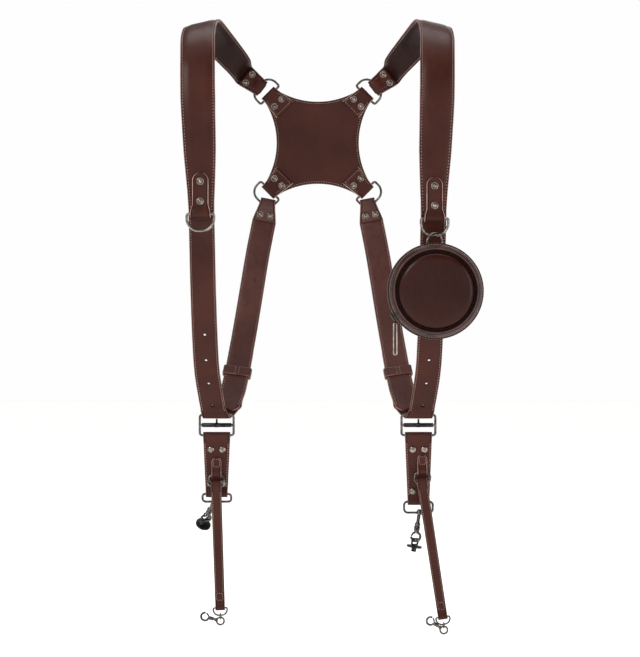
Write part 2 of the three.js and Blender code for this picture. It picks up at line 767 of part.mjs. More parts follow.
function addBuckle(side) {
  const middle = vector((side.sign * buckleSpan) / 2, buckleBack, -buckleDrop);
  const path = framePath(middle, sideways, upwards, buckleWidth, buckleHeight, buckleBend, buckleWire);
  const half = (buckleWidth - buckleWire) / 2;
  const middleBar = bar(
    middle.clone().addScaledVector(sideways, -half), middle.clone().addScaledVector(sideways, half), buckleWire, 8,
  );
  addPiece(`${side.name}_buckle_frame`, joined(wire(path, buckleWire, backwards), middleBar), gunmetal);
  const rollerHalf = half - buckleWire / 2 - 1;
  const outer = rollerDiameter / 2;
  const inner = buckleWire / 2 + seatGap;
  const roller = turned(middle, sideways, [
    [inner, -rollerHalf], [outer, -rollerHalf], [outer, rollerHalf], [inner, rollerHalf], [inner, -rollerHalf],
  ], 10);
  const prongTop = middle.clone().addScaledVector(upwards, barRise - wrapRadius - strapThickness / 2 - seatGap);
  const prongFoot = middle.clone().addScaledVector(upwards, (inner + outer) / 2);
  addPiece(`${side.name}_buckle_prong`, joined(roller, bar(prongFoot, prongTop, prongDiameter, 8)), darkSteel);
}

const wearing = sides.map((side) => {
  const back = backStations(side.sign);
  return { side, back, front: frontStations(side, back) };
});
for (const { side, back, front } of wearing) {
  addBackStrap(side, back);
  addFrontStrap(side, front);
  addKeeper(side, back);
  addBuckle(side);
}

function roundPath(centre, first, second, diameter, wireSize, steps) {
  return arc(centre, first, second, (diameter - wireSize) / 2, 0, 360, steps).slice(0, steps);
}

// Ring tab: doubled leather on the front of the shoulder strap, folded round the ring's bar
const ringTabBack = frontFace - seatGap - tabThickness / 2;
const ringBarBack = ringTabBack - strapRingWire / 2 - wireGap - tabThickness / 2;
const ringOut = 0.977 * halfSpan;

function addStrapRing(side) {
  const middle = vector(side.sign * ringOut, ringBarBack, -side.ringDrop);
  const widthAt = (rise) => {
    if (rise < 12) return blend(ringTabFlare, ringTabWidth, ease(Math.max(rise, 0) / 12));
    const top = (rise - ringTabLength + ringTabWidth / 2) / (ringTabWidth / 2);
    return top > 0 ? ringTabWidth * Math.sqrt(1.03 - Math.min(top, 1) ** 2) : ringTabWidth;
  };
  const radius = ringTabBack - ringBarBack;
  const frontLeg = ringTabBack - tabThickness - plyGap;
  const rises = [1, 0.97, 0.9, 0.8, 0.5, 0.26].map((share) => share * ringTabLength);
  const leg = (rise, back) => {
    const at = vector(middle.x, back, middle.z + rise);
    return { at, across: sideways, width: widthAt(rise), thick: tabThickness };
  };
  const stations = rises.map((rise) => leg(rise, ringTabBack));
  stations.push(leg(0.12 * ringTabLength, ringTabBack));
  for (const at of arc(middle, backwards, upwards.clone().negate(), radius, 0, 180, 5)) {
    stations.push({ at, across: sideways, width: ringTabFlare, thick: tabThickness });
  }
  stations.push(leg(0.07 * ringTabLength, middle.y - 0.8 * radius));
  stations.push(leg(0.16 * ringTabLength, blend(middle.y, frontLeg, 0.6) - 0.3 * radius));
  stations.push(...[...rises].reverse().map((rise) => leg(rise, frontLeg)));
  const heads = [0.31, 0.79].map((share) => {
    const face = vector(middle.x, frontLeg - tabThickness / 2, middle.z + share * ringTabLength);
    return rivet(face, backwards.clone().negate(), smallRivetDiameter);
  });
  addPiece(`${side.name}_ring_tab`, joined(strap(stations), ...heads), leatherBrown);
  const away = upwards.clone().negate();
  const path = ringPath(middle, sideways, away, strapRingWidth, strapRingDepth, strapRingBend, strapRingWire);
  addPiece(`${side.name}_strap_ring`, wire(path, strapRingWire, backwards), gunmetal);
}

// Camera tab: a doubled strap between the buckle's lower bar and the loop below it
const lowerBar = -buckleDrop - barRise;
const tabFront = buckleBack - plyGap / 2 - tabThickness; // front face of the tab

function addCameraTab(side) {
  const out = (side.sign * buckleSpan) / 2;
  const band = doubled({
    top: vector(out, buckleBack, lowerBar), bottom: vector(out, buckleBack, lowerBar - side.tabLength),
    across: sideways, topWire: buckleWire, bottomWire: loopWire, topRoom: 0, bottomRoom: 0,
    thick: tabThickness, topWidth: cameraTabWidth, bottomWidth: cameraTabTaper * cameraTabWidth,
  });
  const heads = [];
  for (const rise of [16.5, side.tabLength - 12]) {
    for (const lean of [-1, 1]) {
      const face = vector(out + lean * 0.21 * cameraTabWidth, tabFront, lowerBar - rise);
      heads.push(rivet(face, backwards.clone().negate(), smallRivetDiameter));
    }
  }
  addPiece(`${side.name}_camera_tab`, joined(strap(band, true), ...heads), leatherBrown);
}

// Tether: a small tab sewn on the camera tab, a round ring, and a doubled strap down to a
// D-ring, a link and a clasp
const tetherTabBack = tabFront - seatGap - thinLeather / 2;
const tetherRingBack = tetherTabBack - tetherRingWire / 2 - wireGap - thinLeather / 2;
const tetherRingLean = 16; // degrees that the ring stands off the camera tab
const tetherRoom = 5; // open length of the tether's fold, for the round ring
const clear = 0.4; // between the wires of two linked rings

function addTether(side) {
  const ring = vector(side.sign * side.tetherRingOut, tetherRingBack, lowerBar + 1 - side.tetherRingDrop - 12);
  const half = (tetherRingDiameter - tetherRingWire) / 2;
  const lean = THREE.MathUtils.degToRad(tetherRingLean);
  const ringUp = vector(0, Math.sin(lean), Math.cos(lean));
  const ringMiddle = ring.clone().addScaledVector(upwards, half).addScaledVector(ringUp, -half);
  const path = roundPath(ringMiddle, sideways, ringUp, tetherRingDiameter, tetherRingWire, 14);
  addPiece(`${side.name}_tether_ring`, wire(path, tetherRingWire, sideways.clone().cross(ringUp)), gunmetal);
  const room = 3;
  const start = vector(ring.x, tetherTabBack, ring.z + half - room);
  const widthAt = () => tetherTabWidth;
  const fold = foldOver({
    start, along: upwards.clone().negate(), across: sideways, toward: backwards.clone().negate(),
    wireSize: tetherRingWire, room, thick: thinLeather, widthAt,
  });
  fold.back(tetherTabLength, fold.closed);
  const top = { ...fold.stations[0], at: start.clone().addScaledVector(upwards, tetherTabLength) };
  addPiece(`${side.name}_tether_tab`, strap([top, ...fold.stations]), leatherBrown);

  const end = vector(side.sign * side.tetherEndOut, tetherRingBack - 6, lowerBar + 1 - side.tetherEndDrop - 12);
  const low = ringMiddle.clone().addScaledVector(ringUp, -half);
  const down = end.clone().sub(low).normalize();
  const across = sideways.clone().addScaledVector(down, -down.x).normalize();
  const hold = low.clone().addScaledVector(down, -tetherRoom);
  const band = doubled({
    top: hold, bottom: end, across, topWire: 1.6 * tetherRingWire, bottomWire: endRingWire, topRoom: tetherRoom, bottomRoom: 0,
    thick: thinLeather, topWidth: tetherWidth, bottomWidth: 0.92 * tetherWidth,
  });
  addPiece(`${side.name}_tether`, strap(band, true), leatherBrown);
  const face = down.clone().cross(across);
  const bow = ringPath(end, across, down, endRingWidth, endRingDepth, endRingBend, endRingWire);
  addPiece(`${side.name}_end_ring`, wire(bow, endRingWire, face, true, 5), gunmetal);

  const hang = end.clone().addScaledVector(down, endRingDepth - endRingWire);
  const apart = endRingWire / 2 + claspWire / 2 + clear;
  const link = hang.clone().addScaledVector(upwards, -apart / 2);
  addPiece(`${side.name}_link`, wire(roundPath(link, backwards, upwards, linkDiameter, linkWire, 10), linkWire, sideways, true, 5), gunmetal);
  addClasp(side, hang.clone().addScaledVector(upwards, -apart - (eyeDiameter - claspWire) / 2));
}

function addClasp(side, eye) {
  const turn = THREE.MathUtils.degToRad(180 - side.claspTurn);
  const along = vector(Math.cos(turn), 0, Math.sin(turn));
  const beside = vector(-Math.sin(turn), 0, Math.cos(turn));
  const middle = eye.clone().addScaledVector(along, claspLength);
  const radius = (claspDiameter - claspWire) / 2;
  const eyeWire = wire(roundPath(eye, along, beside, eyeDiameter, claspWire, 10), claspWire, backwards, true, 5);
  const neck = bar(
    eye.clone().addScaledVector(along, eyeDiameter / 2 - claspWire), middle.clone().addScaledVector(along, -radius), 1.7 * claspWire, 8,
  );
  const jaw = wire(arc(middle, along, beside, radius, 180, -85, 9), claspWire, backwards, false, 5);
  addPiece(`${side.name}_clasp`, joined(eyeWire, neck, jaw), gunmetal);
  const [from, to] = arc(middle, along, beside, radius, 205, 245, 1);
  addPiece(`${side.name}_clasp_lever`, bar(from, to, 0.8 * claspWire, 6), darkSteel);
}

for (const side of sides) {
  addStrapRing(side);
  addCameraTab(side);
  addTether(side);
}

// Loop under a camera tab with a swivel hub on its lower bar, and the hook, lever and screw
// plate that hang from it. Each is made upright below the hub, then leaned and tilted.
const loopDrop = loopHeight - loopWire;

function hung(side, geometry, leaning) {
  const pivot = vector((side.sign * buckleSpan) / 2, buckleBack, lowerBar - side.tabLength);
  if (leaning) {
    geometry.rotateY(THREE.MathUtils.degToRad(side.hookLean));
    geometry.translate(side.hubShift, 0, -loopDrop);
  }
  geometry.rotateX(THREE.MathUtils.degToRad(side.loopTilt));
  geometry.translate(pivot.x, pivot.y, pivot.z);
  return geometry;
}

function addHook(side) {
  const middle = vector(0, 0, -loopDrop / 2);
  const frame = wire(framePath(middle, sideways, upwards, loopWidth, loopHeight, loopBend, loopWire), loopWire, backwards);
  const lean = THREE.MathUtils.degToRad(side.hookLean);
  const hubAxis = vector(Math.sin(lean), 0, Math.cos(lean));
  const hub = vector(side.hubShift, 0, -loopDrop);
  const end = (share) => hub.clone().addScaledVector(hubAxis, share * hubHeight);
  const boss = bar(end(-0.5), end(0.5), hubDiameter, 10);
  const bore = bar(end(-1), end(1), shankDiameter + 2 * swivelGap, 10);
  addPiece(`${side.name}_loop`, hung(side, cut(toGeometry(toSolid(frame).add(toSolid(boss))), bore), false), gunmetal);

  const down = (distance) => vector(0, 0, -distance);
  const headFoot = -hubHeight / 2 - swivelGap;
  const shankEnd = hubHeight / 2 + shankLength;
  const barrelEnd = shankEnd + bodyLength;
  const radius = (hookDiameter - hookWire) / 2;
  const ring = down(barrelEnd + radius + 0.2 * hookWire);
  const hook = joined(
    bar(down(headFoot), down(headFoot - shankHead / 4), shankHead, 10),
    bar(down(headFoot - 0.2), down(shankEnd + 1), shankDiameter, 8),
    bar(down(shankEnd), down(barrelEnd), bodyDiameter, 10),
    wire(arc(ring, sideways, upwards, radius, 92, -172, 12), hookWire, backwards, false, 6),
  );
  addPiece(`${side.name}_hook`, hung(side, hook, true), gunmetal);
  const [from, to] = arc(ring, sideways, upwards, radius, 134, 172, 1);
  addPiece(`${side.name}_hook_lever`, hung(side, bar(from, to, leverWire, 8), true), darkSteel);

  const turn = THREE.MathUtils.degToRad(55);
  const width = vector(Math.cos(turn), Math.sin(turn), 0);
  const bailTop = ring.z - radius + hookWire / 2 + bailWire / 2 + clear;
  const bailMiddle = vector(0, 0, bailTop - (bailHeight - bailWire) / 2);
  const bail = wire(
    framePath(bailMiddle, width, upwards, bailWidth, bailHeight, bailWire, bailWire), bailWire, width.clone().cross(upwards), true, 6,
  );
  const plateTop = bailTop - bailHeight + bailWire - 0.2 * bailWire;
  const plate = joined(
    bail,
    bar(vector(0, 0, plateTop), vector(0, 0, plateTop - plateThickness), plateDiameter, 16),
    bar(vector(0, 0, plateTop - plateThickness + 1), vector(0, 0, plateTop - plateThickness - studLength), studDiameter, 10),
  );
  addPiece(`${side.name}_screw_plate`, hung(side, plate, true), darkSteel);
}

sides.forEach(addHook);

// Round pouch in front of the strap ring of the +X side: a back shell, a zip all round, a
// domed front shell, and a leather loop on its back that holds a jump ring
const pouchMiddle = vector(pouchOut, -pouchSeat, -pouchDrop);
const rim = pouchDiameter / 2;
const chestwards = backwards.clone().negate();
const shellSteps = 24;

// Rows of radius and height are shares of the pouch's radius and thickness.
const backShellRows = [
  [0, 0], [0.93, 0], [0.985, 0.1], [1, 0.27], [1, 0.443], [0.953, 0.443], [0.953, 0.27], [0.93, 0.12], [0, 0.08],
];
const frontShellRows = [
  [0, 1], [0.76, 0.97], [0.85, 0.85], [0.897, 0.867], [0.93, 0.78], [0.953, 0.633], [0.953, 0.557],
  [0.908, 0.557], [0.908, 0.633], [0.8, 0.82], [0, 0.913],
];
const ofPouch = (rows) => rows.map(([x, y]) => [x * rim, y * pouchThickness]);
addPiece('pouch_back', turned(pouchMiddle, chestwards, ofPouch(backShellRows), shellSteps), leatherBrown);
addPiece('pouch_front', turned(pouchMiddle, chestwards, ofPouch(frontShellRows), shellSteps), leatherBrown);
const zipMiddle = 0.5 * pouchThickness;
const zipOuter = 0.972 * rim;
const zipRows = [[zipOuter - zipWidth, -1.4], [zipOuter, -1.4], [zipOuter, 1.4], [zipOuter - zipWidth, 1.4], [zipOuter - zipWidth, -1.4]];
addPiece('pouch_zip', turned(pouchMiddle.clone().addScaledVector(chestwards, zipMiddle), chestwards, zipRows, shellSteps), darkSteel);

// Zip slider on the rim, with an eye for the pull, which hangs straight down
const sliderAngle = THREE.MathUtils.degToRad(sliderTurn);
const outwards = vector(Math.cos(sliderAngle), 0, Math.sin(sliderAngle));
const downRim = vector(-Math.sin(sliderAngle), 0, Math.cos(sliderAngle));
const sliderThickness = 3.2;
const sliderLength = 9;
const sliderMiddle = pouchMiddle.clone().addScaledVector(chestwards, zipMiddle).addScaledVector(outwards, rim + seatGap + sliderThickness / 2);
const sliderEnd = (share) => {
  const at = sliderMiddle.clone().addScaledVector(downRim, share * sliderLength);
  return { at, across: backwards, width: 7, thick: sliderThickness };
};
const eyeWire = 1.2;
const eyeSpan = 5.6;
const eyeMiddle = sliderEnd(0.5).at.clone().addScaledVector(upwards, -eyeSpan / 2 + 0.5);
const sliderEye = wire(roundPath(eyeMiddle, backwards, upwards, eyeSpan, eyeWire, 10), eyeWire, sideways, true, 5);
addPiece('zip_slider', joined(strap([sliderEnd(-0.5), sliderEnd(0.5)]), sliderEye), darkSteel);
const pullTop = eyeMiddle.clone().addScaledVector(upwards, -eyeSpan / 2 + eyeWire + pullWire / 2 + 0.3);
const pullMiddle = pullTop.clone().addScaledVector(upwards, -(pullLength - pullWire) / 2);
const pullPath = framePath(pullMiddle, sideways, upwards, pullWidth, pullLength, pullWire, pullWire);
addPiece('zip_pull', wire(pullPath, pullWire, backwards, true, 5), gunmetal);

// Jump ring through the strap ring, and the loop on the pouch's back that it holds
const heldRing = sides[1];
const ringBow = vector(ringOut, ringBarBack, -heldRing.ringDrop - strapRingDepth + strapRingWire);
const jumpTop = (strapRingWire + pouchRingWire) / 2 + 1.7 * clear;
const jumpRadius = (pouchRingDiameter - pouchRingWire) / 2;
const jumpMiddle = ringBow.clone().addScaledVector(upwards, jumpTop - jumpRadius);
const jumpTurn = THREE.MathUtils.degToRad(pouchRingTurn);
const jumpSide = vector(Math.cos(jumpTurn), Math.sin(jumpTurn), 0);
const jumpPath = roundPath(jumpMiddle, jumpSide, upwards, pouchRingDiameter, pouchRingWire, 14);
addPiece('pouch_ring', wire(jumpPath, pouchRingWire, jumpSide.clone().cross(upwards)), gunmetal);
const loopTop = jumpMiddle.clone().addScaledVector(upwards, -jumpRadius + 1.6);
const loopFoot = vector(loopTop.x, pouchMiddle.y + seatGap + thinLeather + plyGap / 2, loopTop.z - pouchLoopLength);
const pouchLoop = doubled({
  top: loopTop, bottom: loopFoot, across: sideways, topWire: 1.5 * pouchRingWire, bottomWire: 0.2, topRoom: 1.6, bottomRoom: 0,
  thick: thinLeather, topWidth: pouchLoopWidth, bottomWidth: pouchLoopWidth,
});
const twisted = pouchLoop.map((station) => {
  const share = THREE.MathUtils.clamp((loopTop.z - station.at.z) / pouchLoopLength, 0, 1);
  const turn = jumpTurn * (1 - ease(Math.min(1.4 * share, 1)));
  return { ...station, across: vector(Math.cos(turn), Math.sin(turn), 0), skewed: true };
});
addPiece('pouch_loop', strap(twisted, true), leatherBrown);

export default harness;
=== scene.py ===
import math

import bpy
import numpy as np
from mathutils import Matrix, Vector


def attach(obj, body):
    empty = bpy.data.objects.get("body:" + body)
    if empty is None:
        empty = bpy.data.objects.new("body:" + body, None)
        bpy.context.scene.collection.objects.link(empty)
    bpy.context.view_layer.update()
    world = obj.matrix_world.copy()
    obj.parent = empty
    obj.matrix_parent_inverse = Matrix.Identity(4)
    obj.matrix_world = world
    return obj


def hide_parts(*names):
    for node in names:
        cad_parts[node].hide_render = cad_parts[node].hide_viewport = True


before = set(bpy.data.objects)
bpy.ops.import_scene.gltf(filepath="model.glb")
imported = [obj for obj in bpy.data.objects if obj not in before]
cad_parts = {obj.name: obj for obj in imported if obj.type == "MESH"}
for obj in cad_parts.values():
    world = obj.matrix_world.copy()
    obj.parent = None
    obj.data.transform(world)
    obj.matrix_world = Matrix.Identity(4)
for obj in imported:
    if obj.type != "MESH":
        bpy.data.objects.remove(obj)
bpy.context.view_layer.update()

# All sizes below are in millimetres, in the frame of the solids. +X is right, +Y to the
# wearer's back, +Z up.
sideways, backwards, upwards = np.eye(3)


def vec(x, y, z):
    return np.array([x, y, z], float)


def unit(v):
    return v / np.linalg.norm(v, axis=-1, keepdims=True)


def mix(a, b, t):
    return a + (b - a) * t


# Smooth step: 0 up to 0, 1 from 1 on, level at both ends.
def ease(t):
    t = np.clip(t, 0, 1)
    return t * t * (3 - 2 * t)


# Sizes shared by several pieces
halfSpan = 134  # from the middle to each front strap
bodyDepth = 190  # from the front straps to the back pad
buckleDrop = 467
buckleHalfSpan = 117
buckleBack = 78
shoulderWidth = 39
shoulderThick = 5
strapWidth = 29
strapThick = 2.6
foldLength = 24  # of a strap's end, doubled round a ring
tabThick = 2.2
thinThick = 1.6
plyGap = 0.4
seatGap = 0.3
wireGap = 0.4
padMiddle = vec(0, 190, -129)
padReach = 82  # from the pad's middle to its rings' bars
padRing = dict(width=34.5, depth=21, bend=12, wire=2.8)
strapRing = dict(width=33.5, depth=22, bend=14, wire=3)
endRing = dict(width=18, depth=10.5, bend=6.5, wire=2)
buckleSize = dict(width=42, height=26.5, bend=3, wire=2.8)
loop = dict(width=36, height=15.5, bend=4, wire=2.8)
barRise = (buckleSize["height"] - buckleSize["wire"]) / 2
lowerBar = -buckleDrop - barRise
rivet = dict(spread=6.3, head=8.4, height=1.8, rear=7.4, rearHeight=1.2)

# The two sides differ in how they hang: drops and reaches in millimetres, turns in degrees.
sides = [
    dict(name="left", sign=-1, ringDrop=227, tab=68, tilt=40, lean=20, shift=-4,
         ringOut=117, ringFall=41, endOut=112.4, endFall=187.5, claspTurn=16),
    dict(name="right", sign=1, ringDrop=232, tab=77, tilt=0, lean=8.5, shift=1,
         ringOut=121.2, ringFall=38, endOut=144.4, endFall=198, claspTurn=34),
]


# A station of a strap is (middle, direction of the width, width, thickness, skewed).
def station(at, across, width, thick, skewed=False):
    return (np.array(at, float), np.array(across, float), float(width), float(thick), skewed)


def arc(centre, first, second, radius, start, end, steps):
    angles = np.radians(np.linspace(start, end, steps + 1))[:, None]
    return centre + radius * (np.cos(angles) * first + np.sin(angles) * second)


# Line of a D ring's wire: small corners beside the bar and a wide bow away from it.
def ringPath(bar, across, away, width, depth, bend, wire):
    half, reach, small = (width - wire) / 2, depth - wire, 0.8 * wire
    near = [bar + across * side * (half - small) + away * small for side in (-1, 1)]
    far = [bar + across * side * (half - bend) + away * (reach - bend) for side in (-1, 1)]
    return np.concatenate([
        arc(near[0], across, away, small, 270, 180, 8), arc(far[0], across, away, bend, 180, 90, 12),
        arc(far[1], across, away, bend, 90, 0, 12), arc(near[1], across, away, small, 0, -90, 8),
    ])


# Line of a rectangular frame's wire, with round corners.
def framePath(centre, across, up, width, height, bend, wire, cornerSteps=8):
    u, v = (width - wire) / 2 - bend, (height - wire) / 2 - bend
    corners = ((1, 1, 0), (-1, 1, 90), (-1, -1, 180), (1, -1, 270))
    return np.concatenate([
        arc(centre + across * i * u + up * j * v, across, up, bend, start, start + 90, cornerSteps)
        for i, j, start in corners
    ])


def roundPath(centre, first, second, diameter, wire, steps=48):
    return arc(centre, first, second, (diameter - wire) / 2, 0, 360, steps)[:-1]


# Stations round half a circle, from the first direction through the second.
def halfTurn(centre, first, second, radius, across, width, thick, steps=10):
    return [station(at, across, width, thick) for at in arc(centre, first, second, radius, 0, 180, steps)]


# End of a strap that goes round a wire at start and comes back against itself.
def foldOver(start, along, across, toward, wire, room, thick, widthAt):
    radius = wire / 2 + wireGap + thick / 2
    stations = halfTurn(start + toward * radius, -toward, along, radius, across, widthAt(0), thick)
    closed = thick + plyGap

    def back(distance, offset):
        at = start - along * distance + toward * offset
        stations.append(station(at, across, widthAt(distance), thick))

    back(room, 2 * radius)
    for share in (0.35, 0.7, 1):
        back(room + 3 * thick * share, mix(2 * radius, closed, ease(share)))
    return stations, back, closed


# Leaves out stations that lie on the one before, and a last one that lies on the first.
def withoutRepeats(stations, least=0.05):
    kept = stations[:1]
    for item in stations[1:]:
        if np.linalg.norm(item[0] - kept[-1][0]) > least:
            kept.append(item)
    if np.linalg.norm(kept[0][0] - kept[-1][0]) <= least:
        kept.pop()
    return kept


# Closed strap round two wires, its two legs drawn together between them.
def doubled(top, bottom, across, topWire, bottomWire, topRoom, bottomRoom, thick, topWidth, bottomWidth):
    down = unit(bottom - top)
    front = unit(np.cross(down, across))
    if front[1] > 0:
        front = -front
    length = np.linalg.norm(bottom - top)
    topRadius, bottomRadius = (wire / 2 + wireGap + thick / 2 for wire in (topWire, bottomWire))
    pinched = (thick + plyGap) / 2
    closing = 3 * thick
    end = length - bottomRoom
    above = [(topRoom + closing * share, mix(topRadius, pinched, share)) for share in (0, 0.5, 1)]
    below = [(end - closing * share, mix(bottomRadius, pinched, share)) for share in (1, 0.5, 0)]
    between = [(length * share, pinched) for share in (0.35, 0.5, 0.65)]
    legs = above + [row for row in between if above[-1][0] + 3 < row[0] < below[0][0] - 3] + below

    def leg(row, side):
        width = mix(topWidth, bottomWidth, np.clip(row[0] / length, 0, 1))
        return station(top + down * row[0] + front * side * row[1], across, width, thick)

    stations = [leg(row, 1) for row in legs]
    stations += halfTurn(bottom, front, down, bottomRadius, across, bottomWidth, thick)
    stations += [leg(row, -1) for row in reversed(legs)]
    stations += halfTurn(top, -front, -down, topRadius, across, topWidth, thick)
    return withoutRepeats(stations)


def withEnds(points):
    return [2 * points[0] - points[1], *points, 2 * points[-1] - points[-2]]


# One span of a centripetal spline: from p1 to p2, at the given shares of the way.
def splineSpan(p0, p1, p2, p3, shares):
    d0, d1, d2 = (max(np.linalg.norm(b - a) ** 0.5, 1e-4) for a, b in ((p0, p1), (p1, p2), (p2, p3)))
    m1 = d1 * ((p1 - p0) / d0 - (p2 - p0) / (d0 + d1) + (p2 - p1) / d1)
    m2 = d1 * ((p2 - p1) / d1 - (p3 - p1) / (d1 + d2) + (p3 - p2) / d2)
    t = shares[:, None]
    t2, t3 = t * t, t * t * t
    return (2 * t3 - 3 * t2 + 1) * p1 + (t3 - 2 * t2 + t) * m1 + (3 * t2 - 2 * t3) * p2 + (t3 - t2) * m2


# A spline through points, with a number of steps to each span.
def smoothLine(points, steps):
    points = np.array(points, float)
    ends = withEnds(points)
    spans = [splineSpan(*ends[i:i + 4], np.arange(steps) / steps) for i in range(len(points) - 1)]
    return list(np.concatenate(spans + [points[-1:]]))


# Stations along a spline, from rows of place, lean of the width, width and thickness.
def routed(rows, sign, steps):
    line = smoothLine([row[0] for row in rows], steps)
    spans = np.arange(len(line)) / steps
    lean, width, thick = (np.interp(spans, range(len(rows)), [row[k] for row in rows]) for k in (1, 2, 3))
    return [station(at, vec(sign * math.cos(a), 0, -math.sin(a)), w, t)
            for at, a, w, t in zip(line, np.radians(lean), width, thick)]


# The same run with stations about every gap millimetres.
def refine(stations, closed=False, gap=1.5):
    run = stations[-2:] + stations + stations[:2] if closed else stations
    ends = withEnds([s[0] for s in run])
    out = []
    for i in range(2, len(run) - 2) if closed else range(len(run) - 1):
        a, b = run[i], run[i + 1]
        steps = max(1, int(round(np.linalg.norm(b[0] - a[0]) / gap)))
        shares = np.arange(steps) / steps
        for t, at in zip(shares, splineSpan(*ends[i:i + 4], shares)):
            out.append(station(at, mix(a[1], b[1], t), mix(a[2], b[2], t), mix(a[3], b[3], t), a[4]))
    return out if closed else out + [run[-1]]


def runLength(points):
    steps = np.linalg.norm(np.diff(points, axis=0), axis=1)
    return np.concatenate([[0], np.cumsum(steps)])


def direction(points, closed):
    return unit(np.roll(points, -1, 0) - np.roll(points, 1, 0) if closed else np.gradient(points, axis=0))


# Middle, width direction, facing, width and thickness of each station. A skewed station
# keeps its width direction, and is widened by its slant to the line.
def frames(stations, closed=False):
    points, across, width, thick, skewed = (np.array(column) for column in zip(*stations))
    along, across = direction(points, closed), unit(across)
    slant = (across * along).sum(1, keepdims=True)
    width = np.where(skewed, width / np.sqrt(1 - slant[:, 0] ** 2), width)
    across = np.where(skewed[:, None], across, unit(across - along * slant))
    return points, across, unit(np.cross(along, across)), width, thick


# A part is its corners and its faces. This puts one into the scene.
def addMesh(name, part, materials, replaces=None, body="harness", tags=None):
    corners, faces = part
    mesh = bpy.data.meshes.new(name)
    mesh.from_pydata((corners / 1000).tolist(), [], faces)
    mesh.update()
    for material in materials:
        mesh.materials.append(material)
    if tags is not None:
        mesh.polygons.foreach_set("material_index", np.asarray(tags, dtype=np.int32))
    mesh.polygons.foreach_set("use_smooth", np.ones(len(mesh.polygons), dtype=bool))
    mesh.validate()
    piece = bpy.data.objects.new(name, mesh)
    bpy.context.collection.objects.link(piece)
    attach(piece, body)
    if replaces:
        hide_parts(replaces)
    return piece


def quadsBetween(count, around, closed):
    here = np.arange(count * around).reshape(count, around)
    beyond = np.roll(here, -1, 0)
    quads = np.stack([here, beyond, np.roll(beyond, -1, 1), np.roll(here, -1, 1)], -1)
    return quads[:count if closed else count - 1].reshape(-1, 4)


# Surface through rings of points, all of the same count, capped where it isn't closed.
def loft(rings, closed=False):
    rings = np.asarray(rings)
    count, around = rings.shape[:2]
    faces = quadsBetween(count, around, closed).tolist()
    if not closed:
        faces += [list(range(around)), list(range(count * around - 1, (count - 1) * around - 1, -1))]
    return rings.reshape(-1, 3), faces


def joinParts(*parts):
    corners, faces, offset = [], [], 0
    for points, polygons in parts:
        corners.append(points)
        faces += [[i + offset for i in f] for f in polygons]
        offset += len(points)
    return np.concatenate(corners), faces


# Points round a circle of radius 1 between two directions, or round one for each pair.
def circle(first, second, steps):
    angles = np.linspace(0, 2 * math.pi, steps, endpoint=False)[:, None]
    return np.cos(angles) * first[..., None, :] + np.sin(angles) * second[..., None, :]


# Round wire: a circle carried along a line that lies in the plane of the normal.
def wireMesh(points, diameter, normal, around=12, closed=True):
    points = np.array(points)
    out = unit(np.cross(direction(points, closed), normal))
    return loft(points[:, None] + diameter / 2 * circle(out, normal, around), closed)


# Turned shape: rows of radius and height along an axis, each carried round it.
def lathe(at, axis, rows, steps=32):
    axis = unit(axis)
    first = unit(np.cross(axis, backwards if abs(axis[1]) < 0.9 else sideways))
    radius, height = np.array(rows, float).T[:, :, None, None]
    corners = at + axis * height + np.maximum(radius, 0.001) * circle(first, np.cross(axis, first), steps)
    return corners.reshape(-1, 3), quadsBetween(len(rows), steps, False)[:, [0, 3, 2, 1]].tolist()


def rod(start, end, diameter, around=12):
    length = np.linalg.norm(end - start)
    r, bevel = diameter / 2, min(0.25, diameter / 6)
    rows = [(0, 0), (r - bevel, 0), (r, bevel), (r, length - bevel), (r - bevel, length), (0, length)]
    return lathe(start, end - start, rows, around)


# Section of a flat strap. Each row holds the share of the half width, the rounding's part,
# millimetres, then the share and the rounding for the thickness and what lies there.
def strapSection(across, inset):
    beside = (0.95, 0.5) if inset else ()
    sewn = [(-d, "groove" if d < 0.6 else "face") for d in beside]
    sewn += [(d, kind) for (_, kind), d in zip(sewn[::-1], beside[::-1])]
    margin = inset + 1 if inset else 0
    rows = []
    for u, v, start in ((1, 1, 0), (-1, 1, 90), (-1, -1, 180), (1, -1, 270)):
        for a in np.radians(start + np.array([0, 30, 60, 90])):
            rows.append((u, math.cos(a) - u, 0, v, math.sin(a) - v, "edge"))
        if start in (90, 270):
            continue
        side = 1 if start == 0 else -1
        rows += [(side, 0, -side * (inset + d), v, 0, kind) for d, kind in sewn]
        for share in side * (1 - 2 * np.arange(1, across) / across):
            rows.append((share, 0, -share * margin, v, 0, "face"))
        rows += [(-side, 0, side * (inset + d), v, 0, kind) for d, kind in reversed(sewn)]
    return rows


